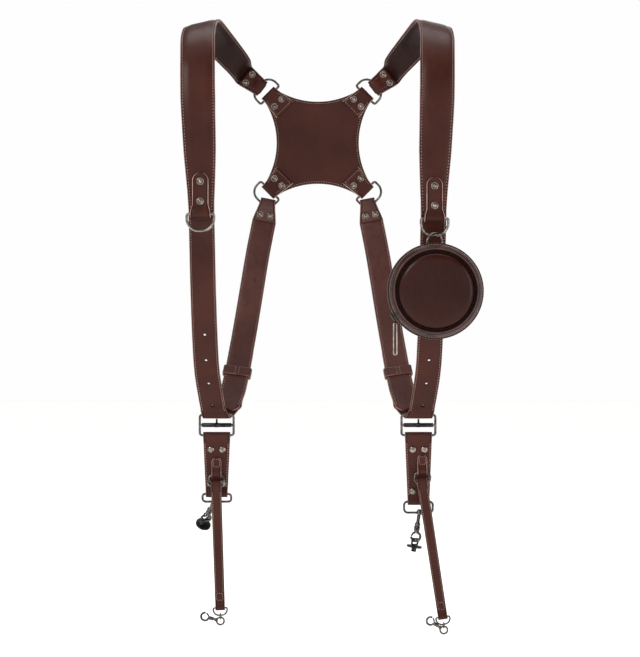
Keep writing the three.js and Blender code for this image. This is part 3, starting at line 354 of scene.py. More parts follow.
# Leather strap: its section carried along the stations, scaled to each one's width and
# thickness. Padding raises the middle, press sinks the stitch lines. The materials are
# those of the face, the cut edge, the stitch groove and the inner side.
def leatherStrap(name, stations, materials, body="harness", closed=False, gap=1.5, edgeRound=0.7,
                 padding=0.0, press=0.0, inset=2.6, across=9):
    fine = refine(stations, closed, gap)
    points, acrossDir, facing, width, thick = frames(fine, closed)
    section = strapSection(across, inset if press else 0)
    u, uRound, uShift, v, vRound = np.array([row[:5] for row in section]).T
    w, t = width[:, None] / 2, thick[:, None] / 2
    r = np.minimum(edgeRound, 0.95 * t)
    x = u * w + uRound * r + uShift
    level = v * t + vRound * r
    if padding or press:
        outer = ease((np.abs(x) / w - 0.5) / 0.42)
        sunk = press * np.exp(-((w - np.abs(x) - inset) / 0.7) ** 2)
        level = level * np.maximum(0.3, (t - padding * outer + 0.15 * padding * (1 - outer) - sunk) / t)
    if not closed:
        distance = runLength(points)
        reach = np.minimum(distance, distance[-1] - distance)[:, None]
        level = level * np.sqrt(np.maximum(0.12, 1 - (1 - np.minimum(reach / 0.8, 1)) ** 2))
    rings = points[:, None] + acrossDir[:, None] * x[..., None] + facing[:, None] * level[..., None]
    part = loft(rings, closed)
    # The side turned inward takes the fourth material; the shoulder straps give it dark leather as painted shade.
    inner = -1 if facing[int(np.argmax(points[:, 2]))][2] > 0 else 1
    marks = []
    # Faces between groove rows take the third material, near black leather as painted shade in the groove.
    for row, after in zip(section, section[1:] + section[:1]):
        kinds = {row[5], after[5]}
        mark = 1 if kinds == {"edge"} else 2 if kinds == {"groove"} else 3 if row[3] == inner else 0
        marks.append(mark if mark < len(materials) else 0)
    caps = 0 if closed else 2
    tags = marks * ((len(part[1]) - caps) // len(section)) + [1] * caps
    return addMesh(name + "_leather", part, materials, name, body, tags), fine


# Rivet head: a plain dome, or a rolled rim round a sunk ring and a small dome.
def rivetMesh(at, facing, diameter, height, plain=False):
    r = diameter / 2
    if plain:
        dome = np.linspace(0, math.pi / 2, 8)[1:]
        shape = [(1, 0.12), (0.96, 0.28), (0.86, 0.42), *zip(0.86 * np.cos(dome), 0.42 + 0.58 * np.sin(dome))]
    else:
        shape = [(1, 0.2), (0.99, 0.45), (0.94, 0.64), (0.86, 0.72), (0.78, 0.64), (0.72, 0.4), (0.68, 0.12),
                 (0.56, 0.1), (0.52, 0.3), (0.49, 0.55), (0.42, 0.75), (0.3, 0.9), (0.16, 0.98), (0, 1)]
    rows = [(r, -0.3)] + [(r * share, height * rise) for share, rise in shape]
    return lathe(at, facing, rows, 28)


rivets = []
threads = {"harness": [], "pouch": []}


# Two rivets beside each other, each with its head in front and a smaller one behind.
def rivetPair(front, rear, across, spread=rivet["spread"], rearWide=rivet["rear"], plain=False):
    for shift in (-across * spread, across * spread):
        rivets.append(rivetMesh(front + shift, -backwards, rivet["head"], rivet["height"], plain))
        rivets.append(rivetMesh(rear + shift, backwards, rearWide, rivet["rearHeight"]))


# Sewing: short threads along a line, each an oval section that thins and sinks to its ends.
def sew(body, points, normals, pitch=3.2, length=1.9, width=0.7, lift=0.08):
    points = np.asarray(points)
    normals = np.broadcast_to(normals, points.shape)
    distance = runLength(points)
    count = int(distance[-1] / pitch)
    middles = (np.arange(count) + 0.5) * distance[-1] / count

    def sample(values, places):
        return np.column_stack([np.interp(places, distance, column) for column in values.T])

    at = sample(points, middles)
    along = unit(sample(points, middles + 1) - sample(points, middles - 1))
    up = unit(sample(normals, middles))
    up = unit(up - along * (up * along).sum(1, keepdims=True))
    places = np.array([-1, -0.72, -0.25, 0.25, 0.72, 1])[:, None]
    sunk = np.abs(places) ** 3
    centres = at[:, None] + along[:, None] * places * length / 2 + up[:, None] * (lift - 0.32 * sunk)
    size = width / 2 * np.sqrt(np.maximum(0.06, 1 - sunk))[..., None]
    rings = centres[:, :, None] + size * circle(np.cross(along, up), 0.75 * up, 6)[:, None]
    threads[body] += [loft(stitch) for stitch in rings]


# Sews both edges of a strap on both faces, up to what is left over at its end.
def sewEdges(fine, inset, start, left, lower=0.0, pitch=3.2):
    points, across, facing, width, thick = frames(fine)
    distance = runLength(points)
    kept = (distance >= start) & (distance <= distance[-1] - left)
    for edge in (-1, 1):
        for face in (-1, 1):
            line = points + across * (edge * (width / 2 - inset))[:, None]
            line += facing * (face * (thick / 2 - lower))[:, None]
            sew("harness", line[kept], (facing * face)[kept], pitch)


def linear(code):
    channels = [int(code[i:i + 2], 16) / 255 for i in (1, 3, 5)]
    return [c / 12.92 if c <= 0.04045 else ((c + 0.055) / 1.055) ** 2.4 for c in channels] + [1.0]


# Adds a node with its settings and inputs. A node given as an input means its first output.
def node(tree, kind, inputs=None, **settings):
    made = tree.nodes.new("ShaderNode" + kind)
    for key, value in settings.items():
        setattr(made, key, value)
    for key, value in (inputs or {}).items():
        if isinstance(value, bpy.types.Node):
            value = value.outputs[0]
        if isinstance(value, bpy.types.NodeSocket):
            tree.links.new(value, made.inputs[key])
        else:
            made.inputs[key].default_value = value
    return made


# Gives a ramp its stops, each a place and a linear colour.
def setStops(ramp, first, *others):
    elements = ramp.color_ramp.elements
    elements.remove(elements[1])
    elements[0].position, elements[0].color = first
    for place, colour in others:
        elements.new(place).color = colour


def newMaterial(name):
    material = bpy.data.materials.new(name)
    material.use_nodes = True
    tree = material.node_tree
    tree.nodes.clear()
    return material, tree, node(tree, "TexCoord").outputs["Object"]


# Smooth vegetable tanned leather, oiled and rubbed: cloudy colour where the oil has pulled
# up, fine pores and soft creases under a low shine. Clouds are 60 mm apart, mottling 6 mm,
# wrinkles 3 mm, creases 17 mm and pores 0.9 mm, drawn coarser than real ones so that they show.
def leather(name, base, dark, light, rough=0.4, pore=1100.0, creases=0.3, shine=0.14, coat=0.08):
    material, tree, place = newMaterial(name)
    clouds = node(tree, "TexNoise", {"Vector": place, "Scale": 17.0, "Detail": 4.0})
    mottle = node(tree, "TexNoise", {"Vector": place, "Scale": 170.0, "Detail": 4.0, "Roughness": 0.65})
    tone = node(tree, "ValToRGB", {"Fac": clouds})
    setStops(tone, (0.3, linear(dark)), (0.5, linear(base)), (0.72, linear(light)))
    speck = node(tree, "ValToRGB", {"Fac": mottle})
    setStops(speck, (0.32, (0.8, 0.79, 0.79, 1)), (0.66, (1.08, 1.07, 1.06, 1)))
    colour = node(tree, "Mix", {0: 0.55, 6: tone, 7: speck}, data_type="RGBA", blend_type="MULTIPLY")
    pores = node(tree, "TexVoronoi", {"Vector": place, "Scale": pore}, feature="DISTANCE_TO_EDGE")
    poreDepth = node(tree, "MapRange", {0: pores, 2: 0.22})
    wrinkle = node(tree, "TexNoise", {"Vector": place, "Scale": 330.0, "Detail": 6.0, "Roughness": 0.7})
    height = node(tree, "Math", {0: poreDepth, 1: wrinkle}, operation="ADD")
    fine = node(tree, "Bump", {"Strength": 0.35, "Distance": 0.00005, "Height": height})
    soft = node(tree, "TexNoise", {"Vector": place, "Scale": 58.0, "Detail": 3.0, "Distortion": 0.8})
    bump = node(tree, "Bump", {"Strength": creases, "Distance": 0.0006, "Height": soft, "Normal": fine})
    gloss = node(tree, "MapRange", {0: mottle, 1: 0.3, 2: 0.7, 3: rough - 0.07, 4: rough + 0.1})
    shader = node(tree, "BsdfPrincipled", {
        "Base Color": colour.outputs[2], "Roughness": gloss, "Normal": bump,
        "Specular IOR Level": shine, "Coat Weight": coat, "Coat Roughness": 0.18})
    node(tree, "OutputMaterial", {0: shader})
    return material


# Cut leather edge, waxed: fibres 1 mm apart, paler than the face, with darker stains.
def cutEdge(name, base, dark):
    material, tree, place = newMaterial(name)
    fibres = node(tree, "TexNoise", {"Vector": place, "Scale": 900.0, "Detail": 5.0, "Roughness": 0.7})
    stains = node(tree, "TexNoise", {"Vector": place, "Scale": 90.0, "Detail": 3.0})
    both = node(tree, "Math", {0: fibres, 1: stains}, operation="MULTIPLY")
    tone = node(tree, "ValToRGB", {"Fac": both})
    setStops(tone, (0.16, linear(dark)), (0.36, linear(base)))
    bump = node(tree, "Bump", {"Strength": 0.5, "Distance": 0.00008, "Height": fibres})
    shader = node(tree, "BsdfPrincipled", {"Base Color": tone, "Roughness": 0.55, "Normal": bump})
    node(tree, "OutputMaterial", {0: shader})
    return material


# Plated and rubbed metal: patches of tarnish 4 mm across and fine lengthwise scratches.
def plated(name, base, tarnish, rough):
    material, tree, place = newMaterial(name)
    haze = node(tree, "TexNoise", {"Vector": place, "Scale": 240.0, "Detail": 5.0, "Roughness": 0.65})
    tone = node(tree, "ValToRGB", {"Fac": haze})
    setStops(tone, (0.34, linear(tarnish)), (0.6, linear(base)))
    stretched = node(tree, "Mapping", {"Vector": place, "Scale": (1.0, 1.0, 9.0)})
    scratches = node(tree, "TexNoise", {"Vector": stretched, "Scale": 700.0, "Detail": 4.0})
    gloss = node(tree, "MapRange", {0: haze, 1: 0.3, 2: 0.7, 3: rough + 0.12, 4: rough - 0.04})
    bump = node(tree, "Bump", {"Strength": 0.12, "Distance": 0.00004, "Height": scratches})
    shader = node(tree, "BsdfPrincipled",
                  {"Base Color": tone, "Metallic": 1.0, "Roughness": gloss, "Normal": bump})
    node(tree, "OutputMaterial", {0: shader})
    return material


# Waxed linen thread: a slanting twist about 1 mm long, dull with a little sheen.
def sewingThread(name, base, dark):
    material, tree, place = newMaterial(name)
    twist = node(tree, "TexWave", {"Vector": place, "Scale": 900.0, "Distortion": 2.0, "Detail": 1.0},
                 bands_direction="DIAGONAL")
    tone = node(tree, "Mix", {0: twist.outputs["Fac"], 6: linear(dark), 7: linear(base)}, data_type="RGBA")
    bump = node(tree, "Bump", {"Strength": 0.5, "Distance": 0.00006, "Height": twist.outputs["Fac"]})
    shader = node(tree, "BsdfPrincipled", {
        "Base Color": tone.outputs[2], "Roughness": 0.6, "Normal": bump, "Sheen Weight": 0.2})
    node(tree, "OutputMaterial", {0: shader})
    return material


# Woven polyester zip tape: a checked weave of 0.6 mm threads, matt.
def wovenTape(name, base, dark):
    material, tree, place = newMaterial(name)
    weave = node(tree, "TexChecker", {"Vector": place, "Scale": 1700.0})
    noise = node(tree, "TexNoise", {"Vector": place, "Scale": 500.0, "Detail": 3.0})
    tone = node(tree, "Mix", {0: noise, 6: linear(dark), 7: linear(base)}, data_type="RGBA")
    bump = node(tree, "Bump", {"Strength": 0.6, "Distance": 0.0001, "Height": weave.outputs["Fac"]})
    shader = node(tree, "BsdfPrincipled", {
        "Base Color": tone.outputs[2], "Roughness": 0.85, "Normal": bump, "Sheen Weight": 0.3})
    node(tree, "OutputMaterial", {0: shader})
    return material


strapLeather = leather("oiled strap leather", "#3d1a12", "#35150e", "#462016")
# Strap leather made lighter, as painted sheen: the back straps and the keepers are coloured as if they caught more
# light.
paintedSheenLeather = leather("oiled strap leather lightened as painted sheen", "#4c2a24", "#40211c", "#58342d", rough=0.33, shine=0.3)
pouchLeather = leather("dark pouch leather", "#2f1009", "#270c06", "#36140c", rough=0.3, pore=1300.0,
                       shine=0.08, coat=0.2)
# Near black leather for the inner side of the shoulder straps, as painted shade on the side turned away from the
# light.
innerShadeLeather = leather("inner side darkened as painted shade", "#200e0a", "#190a07", "#29130e", rough=0.5, creases=0.2, shine=0.1)
# Near black leather for the pressed stitch grooves and the groove round the pouch's dome, as painted shade in these
# recesses.
groove = leather("stitch groove darkened as painted shade", "#140806", "#0f0605", "#1b0c09", rough=0.5, creases=0.1)
# Near black leather lining the punched holes, as painted shade in and round the holes.
holeDark = leather("dark hole edge as painted shade", "#1c0e0c", "#100706", "#2a1512", rough=0.6, creases=0.1)
edgeBrown = cutEdge("waxed cut edge", "#8a5d51", "#4a2820")
edgePale = cutEdge("raw cut edge", "#c39c90", "#855b50")
# Dyed cut edge of the back pad and the pouch loop; on the pouch's corded rim it is lighter than the pouch leather,
# a painted highlight.
cutEdgeAndPipingHighlight = cutEdge("dyed cut edge and painted piping highlight", "#4a2a24", "#241210")
gunmetal = plated("gunmetal plating", "#6b6763", "#2b2927", 0.13)
ringMetal = plated("polished gunmetal", "#99938d", "#37332f", 0.09)
nickel = plated("worn nickel", "#b9b2ab", "#726b65", 0.16)
blackened = plated("blackened steel", "#39383a", "#151416", 0.3)
rivetMetal = plated("polished antique rivet", "#a3968d", "#4a423d", 0.13)
toothMetal = plated("zip teeth", "#6f675e", "#2f2b28", 0.3)
thread = sewingThread("waxed linen thread", "#c3a295", "#8a6a5e")
tape = wovenTape("zip tape", "#241a19", "#120d0d")
print("materials made")


def addMetal(name, ending, part, metal=gunmetal, body="harness"):
    addMesh(name + ending, part, [metal], name, body)


# Shoulder straps and back pad
def padArm(sign, rise):
    away = unit(vec(sign, 0, rise))
    return away, np.cross(away, backwards), padMiddle + away * padReach


# Where a strap that pulls in a direction takes hold of a pad ring's bow.
def bowPoint(sign, rise, pull):
    away, across, bar = padArm(sign, rise)
    flat = (padRing["width"] - padRing["wire"]) / 2 - padRing["bend"]
    reach = padRing["depth"] - padRing["wire"] - padRing["bend"]
    return bar + pull * (flat * abs(pull.dot(across)) + reach * pull.dot(away) + padRing["bend"])


# Direction of a strap at its pad ring, its width direction, and the end folded round the ring.
def ringEnd(sign, rise, degrees, room, widthAt):
    slope = math.radians(degrees)
    pull = vec(sign * math.cos(slope), 0, rise * math.sin(slope))
    across = vec(sign * math.sin(slope), 0, -rise * math.cos(slope))
    seat = padRing["wire"] / 2 + wireGap + strapThick / 2
    start = bowPoint(sign, rise, pull) - pull * room + backwards * seat
    fold, back, closed = foldOver(start, -pull, across, -backwards, padRing["wire"], room, strapThick, widthAt)
    back(foldLength, closed)
    return start, pull, across, fold, closed


def ringEndRivets(start, pull, across, closed, share):
    middle = start + pull * share * foldLength
    front = middle - backwards * (closed + strapThick / 2)
    rivetPair(front, middle + backwards * strapThick / 2, across)


# out, back and drop as shares of the half span, the body's depth and the drop to the
# buckles, then the lean of the width in degrees and the share of the strap's width
shoulderRows = [
    (0.972, 0, 0.488, 0, 0.71), (0.974, 0, 0.43, 0, 0.79), (0.985, 0, 0.335, 0, 0.93), (1, 0, 0.212, 0, 1),
    (1.008, 0.06, 0.105, 2, 1), (1.015, 0.19, 0.042, 8, 1), (0.99, 0.43, 0.004, 14, 1),
    (0.86, 0.74, 0.035, 26, 0.94), (0.7, 0.93, 0.083, 44, 0.8),
]
shoulder = dict(pull=38, room=3.4, endWidth=21, endFlare=0.7, seam=2.4, padding=1.1, fill=0.35, rivets=0.72)
shoulderSewing = dict(start=2.5, left=2.2 * foldLength, lower=1.05, pitch=3.4)


def shoulderStrap(side):
    sign = side["sign"]

    def widthAt(distance):
        return mix(shoulder["endWidth"], shoulder["endFlare"] * shoulderWidth, distance / foldLength)

    start, pull, across, fold, closed = ringEnd(sign, 1, shoulder["pull"], shoulder["room"], widthAt)
    rows = [(vec(sign * o * halfSpan, b * bodyDepth, -d * buckleDrop), lean, w * shoulderWidth, shoulderThick)
            for o, b, d, lean, w in shoulderRows]
    for distance in (foldLength, 0.6 * foldLength, 0.3 * foldLength):
        rows.append((start + pull * distance, 90 - shoulder["pull"], widthAt(distance), strapThick))
    # The inner side is dark leather, as painted shade.
    piece, fine = leatherStrap(side["name"] + "_shoulder_strap", routed(rows, sign, 6) + fold,
                               [strapLeather, edgeBrown, groove, innerShadeLeather], padding=shoulder["padding"],
                               press=0.35, inset=shoulder["seam"], edgeRound=0.8, gap=1.8, across=13)
    sewEdges(fine, shoulder["seam"], **shoulderSewing)
    ringEndRivets(start, pull, across, closed, shoulder["rivets"])


for side in sides:
    shoulderStrap(side)
print("shoulder straps made")

# Back pad: its outline has four hollow sides, given by the waist and the tips.
padTip = padReach - padRing["wire"] / 2 - 2 * seatGap
pad = dict(waist=50, tipWidth=21, thick=4, perSide=44, perTip=8, seam=2.5, swell=0.2, swellWide=42, fill=0.3)
padTab = dict(length=26, tip=21, wide=28, rivets=14, press=0.25, groove=1.9)
padTabSeam = dict(start=2, startOut=8, left=2.4, endOut=11.4)


# Each side is an arc through the waist and two tip corners, each tip a straight line.
def padOutline(inset=0.0):
    tip, wide, waist = padTip - inset, pad["tipWidth"] - 2 * inset, pad["waist"] - inset
    h, k = (tip + wide / 2) * math.sqrt(0.5), (tip - wide / 2) * math.sqrt(0.5)
    reach = (h * h + k * k - waist ** 2) / (2 * (h - waist))
    spread = math.atan2(k, reach - h)
    t = np.linspace(-spread, spread, pad["perSide"])
    hollow = np.column_stack([reach - (reach - waist) * np.cos(t), (reach - waist) * np.sin(t)])

    def turned(points, quarter):
        c, s = math.cos(quarter * math.pi / 2), math.sin(quarter * math.pi / 2)
        return points @ np.array([[c, s], [-s, c]])

    outline = []
    for quarter in range(4):
        run, after = turned(hollow, quarter), turned(hollow[0], quarter + 1)
        outline += [run, mix(run[-1], after, np.linspace(0, 1, pad["perTip"] + 2)[1:-1, None])]
    return np.concatenate(outline)


def backPad():
    half = pad["thick"] / 2
    # Inset from the edge and height of the face there, with the stitch line's dip at 2.5
    profile = [(0.0, 0.0), (0.05, 0.5), (0.3, 0.8), (0.75, 0.95), (1.6, 0.96),
               (2.0, 0.92), (2.5, 0.86), (3.0, 0.92), (3.4, 0.97), (4.8, 1.04)]
    loops = [(padOutline(inset), level * half) for inset, level in profile]
    base = loops[-1][0]
    loops += [(base * share, None) for share in (0.94, 0.88, 0.8, 0.7, 0.58, 0.45, 0.3, 0.16, 0.03)]

    # The padding swells gently towards the middle
    def layer(xy, level, face):
        radius = np.linalg.norm(xy, axis=1)
        swell = half * (1.04 + pad["swell"] * np.exp(-(radius / pad["swellWide"]) ** 2))
        height = swell if level is None else np.full(len(xy), level)
        return np.column_stack([xy[:, 0], face * height, xy[:, 1]]) + padMiddle

    part = loft([layer(xy, y, -1) for xy, y in reversed(loops)] + [layer(xy, y, 1) for xy, y in loops[1:]])
    outline, count = loops[0][0], len(loops)
    band = np.arange(len(part[1])) // len(outline)
    # The stitch line's dip takes the near black groove leather, as painted shade.
    sewn = [count - 6, count - 7, count - 8, count + 4, count + 5]
    tags = np.where((band >= count - 4) & (band < count + 2), 1, np.where(np.isin(band, sewn), 2, 0))
    piece = addMesh("back_pad_leather", part, [strapLeather, cutEdgeAndPipingHighlight, groove], "back_pad",
                    tags=tags)
    towards = direction(outline, True)
    seam = outline + np.column_stack([-towards[:, 1], towards[:, 0]]) * pad["seam"]
    for quarter in range(4):
        first = quarter * (pad["perSide"] + pad["perTip"])
        run = seam[first + 2:first + pad["perSide"] - 2]
        for face in (-1, 1):
            line = np.column_stack([run[:, 0], np.full(len(run), face * half * 0.9), run[:, 1]]) + padMiddle
            sew("harness", line, backwards * face, pitch=3.0)


def padTabAndRing(name, sign, rise):
    away, across, bar = padArm(sign, rise)
    offset = pad["thick"] / 2 + seatGap + tabThick / 2
    length, tip, wide = padTab["length"], padTab["tip"], padTab["wide"]

    def leg(share, y):
        return station(bar - away * share * length + backwards * y, across, mix(tip, wide, share), tabThick)

    shares = [1, 0.75, 0.5, 0.25, 0.1]
    stations = [leg(s, -offset) for s in shares]
    stations += halfTurn(bar, -backwards, away, offset, across, tip, tabThick, 12)
    stations += [leg(s, offset) for s in reversed(shares)]
    leatherStrap(name + "_pad_tab", stations, [strapLeather, edgePale, groove],
                 press=padTab["press"], inset=padTab["groove"], gap=1.2, edgeRound=0.6)
    face = backwards * (offset + tabThick / 2)
    rivetPair(bar - away * padTab["rivets"] - face, bar - away * padTab["rivets"] + face, across)
    first = (padTabSeam["start"], padTabSeam["startOut"])
    last = (length - padTabSeam["left"], padTabSeam["endOut"])
    corners = [bar - away * down + across * out * turn
               for (down, out), turn in ((first, 1), (last, 1), (last, -1), (first, -1))]
    line = np.array([mix(corners[k], corners[k + 1], t) for k in range(3) for t in np.linspace(0, 1, 9)[:-1]])
    for facing in (-1, 1):
        level = backwards * facing * (offset + tabThick / 2 - 0.1)
        sew("harness", line + level, backwards * facing, pitch=2.6, length=1.7, width=0.55)
    ring = wireMesh(ringPath(bar, across, away, **padRing), padRing["wire"], backwards)
    addMetal(name + "_pad_ring", "_wire", ring)


backPad()
for rise, level in ((1, "upper_"), (-1, "lower_")):
    for side in sides:
        padTabAndRing(level + side["name"], side["sign"], rise)
print("back pad made")

# Back straps, front straps, keepers and buckles
# out as a share of the buckles' half span, back of the body's depth, drop to the buckles
backRows = [(0.62, 0.925, 0.567), (0.7, 0.79, 0.7), (0.775, 0.645, 0.82), (0.842, 0.515, 0.91),
            (0.889, 0.459, 0.945)]
# out as a share of half the shoulder span, back of the way to the buckle, drop to the buckle
frontRows = [(0.972, 0.1, 0.524), (0.966, 0.2, 0.64), (0.958, 0.37, 0.76), (0.945, 0.6, 0.861),
             (0.918, 0.8, 0.925)]
strapSeam = 2.1
backEnd = dict(pull=79, room=4.9, width=18, tail=9, unsewn=2.1 * foldLength, rivets=0.68)
wrapRadius = buckleSize["wire"] / 2 + wireGap + strapThick / 2
wrap = dict(shift=3.4, steps=12)
frontTuck = 28  # of the front strap's top, under the shoulder strap
holes = dict(count=4, spacing=30, rise=20, diameter=3)


def backStrap(side):
    sign = side["sign"]

    def widthAt(distance):
        return mix(backEnd["width"], strapWidth, min(distance / foldLength, 1))

    start, pull, across, fold, closed = ringEnd(sign, -1, backEnd["pull"], backEnd["room"], widthAt)
    rows = [(start + pull * share * foldLength, backEnd["pull"] - 90, widthAt(share * foldLength), strapThick)
            for share in (0.3, 0.6, 1)]
    for o, b, d in backRows:
        at = vec(sign * o * buckleHalfSpan, b * bodyDepth, -d * buckleDrop)
        rows.append((at, 0, strapWidth, strapThick))
    run = routed(rows, sign, 2)
    end, along = run[-1][0], unit(run[-1][0] - run[-2][0])
    stations = fold[::-1] + run
    # Rounded tip
    for share in (0.2, 0.4, 0.6, 0.8, 0.92, 1):
        width = strapWidth * math.sqrt(1 - 0.7 * share ** 2)
        stations.append(station(end + along * share * backEnd["tail"], run[-1][1], width, strapThick))
    # Coloured with the lighter leather, as painted sheen.
    _, fine = leatherStrap(side["name"] + "_back_strap", stations, [paintedSheenLeather, edgeBrown, groove],
                           press=0.3, inset=strapSeam, gap=1.8)
    sewEdges(fine, strapSeam, backEnd["unsewn"], backEnd["tail"])
    ringEndRivets(start, pull, across, closed, backEnd["rivets"])
    return run


# Cuts round holes through a piece.
def punch(piece, rods):
    corners, faces = joinParts(*rods)
    mesh = bpy.data.meshes.new("punches")
    mesh.from_pydata((corners / 1000).tolist(), [], faces)
    cutter = bpy.data.objects.new("punches", mesh)
    bpy.context.collection.objects.link(cutter)
    modifier = piece.modifiers.new("holes", "BOOLEAN")
    modifier.object = cutter
    modifier.operation = "DIFFERENCE"
    cut = bpy.data.meshes.new_from_object(piece.evaluated_get(bpy.context.evaluated_depsgraph_get()))
    piece.modifiers.clear()
    if len(cut.polygons) > 0.9 * len(piece.data.polygons):
        piece.data = cut
    bpy.data.objects.remove(cutter)


# Tail of the front strap: it lies on the back strap, from its end up to the keeper.
def frontTail(run):
    tail = []
    for i in range(len(run) - 1, len(run) - 6, -1):
        facing = unit(np.cross(unit(run[i - 1][0] - run[min(i + 1, len(run) - 1)][0]), sideways))
        if facing[1] < 0:
            facing = -facing
        tail.append(run[i][0] + facing * (strapThick + plyGap))
    return tail


def frontStrap(side, run):
    sign = side["sign"]
    bar = vec(sign * buckleHalfSpan, buckleBack, -buckleDrop + barRise)
    topY = seatGap + shoulderThick / 2 + strapThick / 2
    endDrop = shoulderRows[0][2] * buckleDrop
    out = sign * frontRows[0][0] * halfSpan
    places = [vec(out, topY + step, -endDrop + rise) for step, rise in ((0, frontTuck), (0, 4), (0.4, -4))]
    for o, b, d in frontRows:
        places.append(vec(sign * o * halfSpan, topY + b * (buckleBack - wrapRadius - topY), -d * buckleDrop))
    places.append(bar + vec(sign * (wrap["shift"] / 2 + 2), -wrapRadius - 0.6, 6))
    line = smoothLine(places, 4)
    tail = frontTail(run)
    leaving = tail[0] - bar
    reach = math.hypot(leaving[1], leaving[2])
    wrapEnd = math.pi - math.atan2(leaving[1], leaving[2]) + math.asin(wrapRadius / reach)
    for share in np.arange(wrap["steps"] + 1) / wrap["steps"]:
        turn = share * wrapEnd
        line.append(bar + vec(sign * wrap["shift"] * (0.5 - share), -wrapRadius * math.cos(turn),
                              -wrapRadius * math.sin(turn)))
    line += [mix(line[-1], tail[0], 0.5), *tail]
    stations = [station(at, sideways, strapWidth, strapThick, True) for at in line]
    piece, fine = leatherStrap(side["name"] + "_front_strap", stations, [strapLeather, edgeBrown, groove],
                               press=0.25, inset=strapSeam, gap=1.8)
    points, _, facing, _, thick = frames(fine)
    distance = runLength(points)
    low = int(np.argmin(points[:math.ceil(0.75 * len(points)), 2]))
    sewEdges(fine, strapSeam, frontTuck + 4, distance[-1] - distance[low] + 9)
    # Punched holes, each with a dark ring pressed in both faces that runs down the hole's wall, as painted shade in
    # and round the hole
    rim = [(2.3, -0.02), (2.15, 0.13), (1.75, 0.16), (1.52, 0.02), (1.45, -0.5), (1.45, -0.9)]
    rims, punches = [], []
    for k in range(holes["count"]):
        i = int(np.searchsorted(distance, distance[low] - holes["rise"] - k * holes["spacing"]))
        for out in (-facing[i], facing[i]):
            rims.append(lathe(points[i] + out * thick[i] / 2, out, rim, 20))
        punches.append(rod(points[i] - facing[i] * 2, points[i] + facing[i] * 2, holes["diameter"], 20))
    punch(piece, punches)
    addMesh(side["name"] + "_strap_holes", joinParts(*rims), [holeDark])


def keeper(side, run, wide=11, room=0.7):
    i = len(run) - 4
    along = unit(run[i + 1][0] - run[i - 1][0])
    across = unit(run[i][1] - along * run[i][1].dot(along))
    facing = np.cross(along, across)
    if facing[1] < 0:
        facing = -facing
    middle = run[i][0] + facing * (strapThick + plyGap) / 2
    beyond = 2 * room + thinThick
    path = framePath(middle, across, facing, strapWidth + beyond, 2 * strapThick + plyGap + beyond, 2, 0, 5)
    stations = withoutRepeats([station(at, along, wide, thinThick) for at in path])
    # Coloured with the lighter leather, as painted sheen.
    leatherStrap(side["name"] + "_keeper", stations, [paintedSheenLeather, edgeBrown], closed=True,
                 gap=1.0, edgeRound=0.6)
    # The ends butt on the front and are sewn across
    front = middle - facing * (strapThick + plyGap / 2 + room + thinThick)
    for shift in (-2.0, 2.0):
        seam = front + across * shift + along * np.linspace(-4.6, 4.6, 8)[:, None]
        sew("harness", seam, -facing, pitch=2.6, length=1.8)


def buckle(side):
    middle = vec(side["sign"] * buckleHalfSpan, buckleBack, -buckleDrop)
    wire = buckleSize["wire"]
    half = (buckleSize["width"] - wire) / 2
    outside = wireMesh(framePath(middle, sideways, upwards, **buckleSize), wire, backwards, 16)
    middleBar = rod(middle - sideways * half, middle + sideways * half, wire, 16)
    name = side["name"] + "_buckle"
    addMesh(name + "_wire", joinParts(outside, middleBar), [gunmetal], name + "_frame")
    rollerHalf = half - wire / 2 - 1
    inner, outer = wire / 2 + seatGap, 2.5
    rows = [(inner, 0.1 - rollerHalf), (outer - 0.3, -rollerHalf), (outer, 0.4 - rollerHalf),
            (outer, rollerHalf - 0.4), (outer - 0.3, rollerHalf), (inner, rollerHalf - 0.1)]
    roller = lathe(middle, sideways, rows + rows[:1], 28)
    top = middle + upwards * (barRise - wrapRadius - strapThick / 2 - seatGap)
    # The prong has a collar round the roller
    rows = [(outer - 0.2, -2.2), (outer + 0.25, -1.9), (outer + 0.25, 1.9), (outer - 0.2, 2.2)]
    parts = joinParts(roller, rod(middle + upwards * 2, top, 2.2, 14), lathe(middle, sideways, rows, 28))
    addMesh(name + "_roller", parts, [blackened], name + "_prong")


for side in sides:
    backRun = backStrap(side)
    frontStrap(side, backRun)
    keeper(side, backRun)
    buckle(side)
print("buckled straps made")

# Ring tabs, strap rings and camera tabs
ringTabBack = -shoulderThick / 2 - seatGap - tabThick / 2
ringBarBack = ringTabBack - strapRing["wire"] / 2 - wireGap - tabThick / 2
ringOut = 0.977 * halfSpan
ringTab = dict(length=46, width=18, flare=23, flareRise=12, rivet=8.6)
tabFront = buckleBack - plyGap / 2 - tabThick
cameraTabSize = dict(width=31.5, taper=0.8, seam=1.9, seamTop=9, seamFoot=8)
cameraTabRivets = dict(top=16.5, foot=12, spread=0.21, rear=6.4)


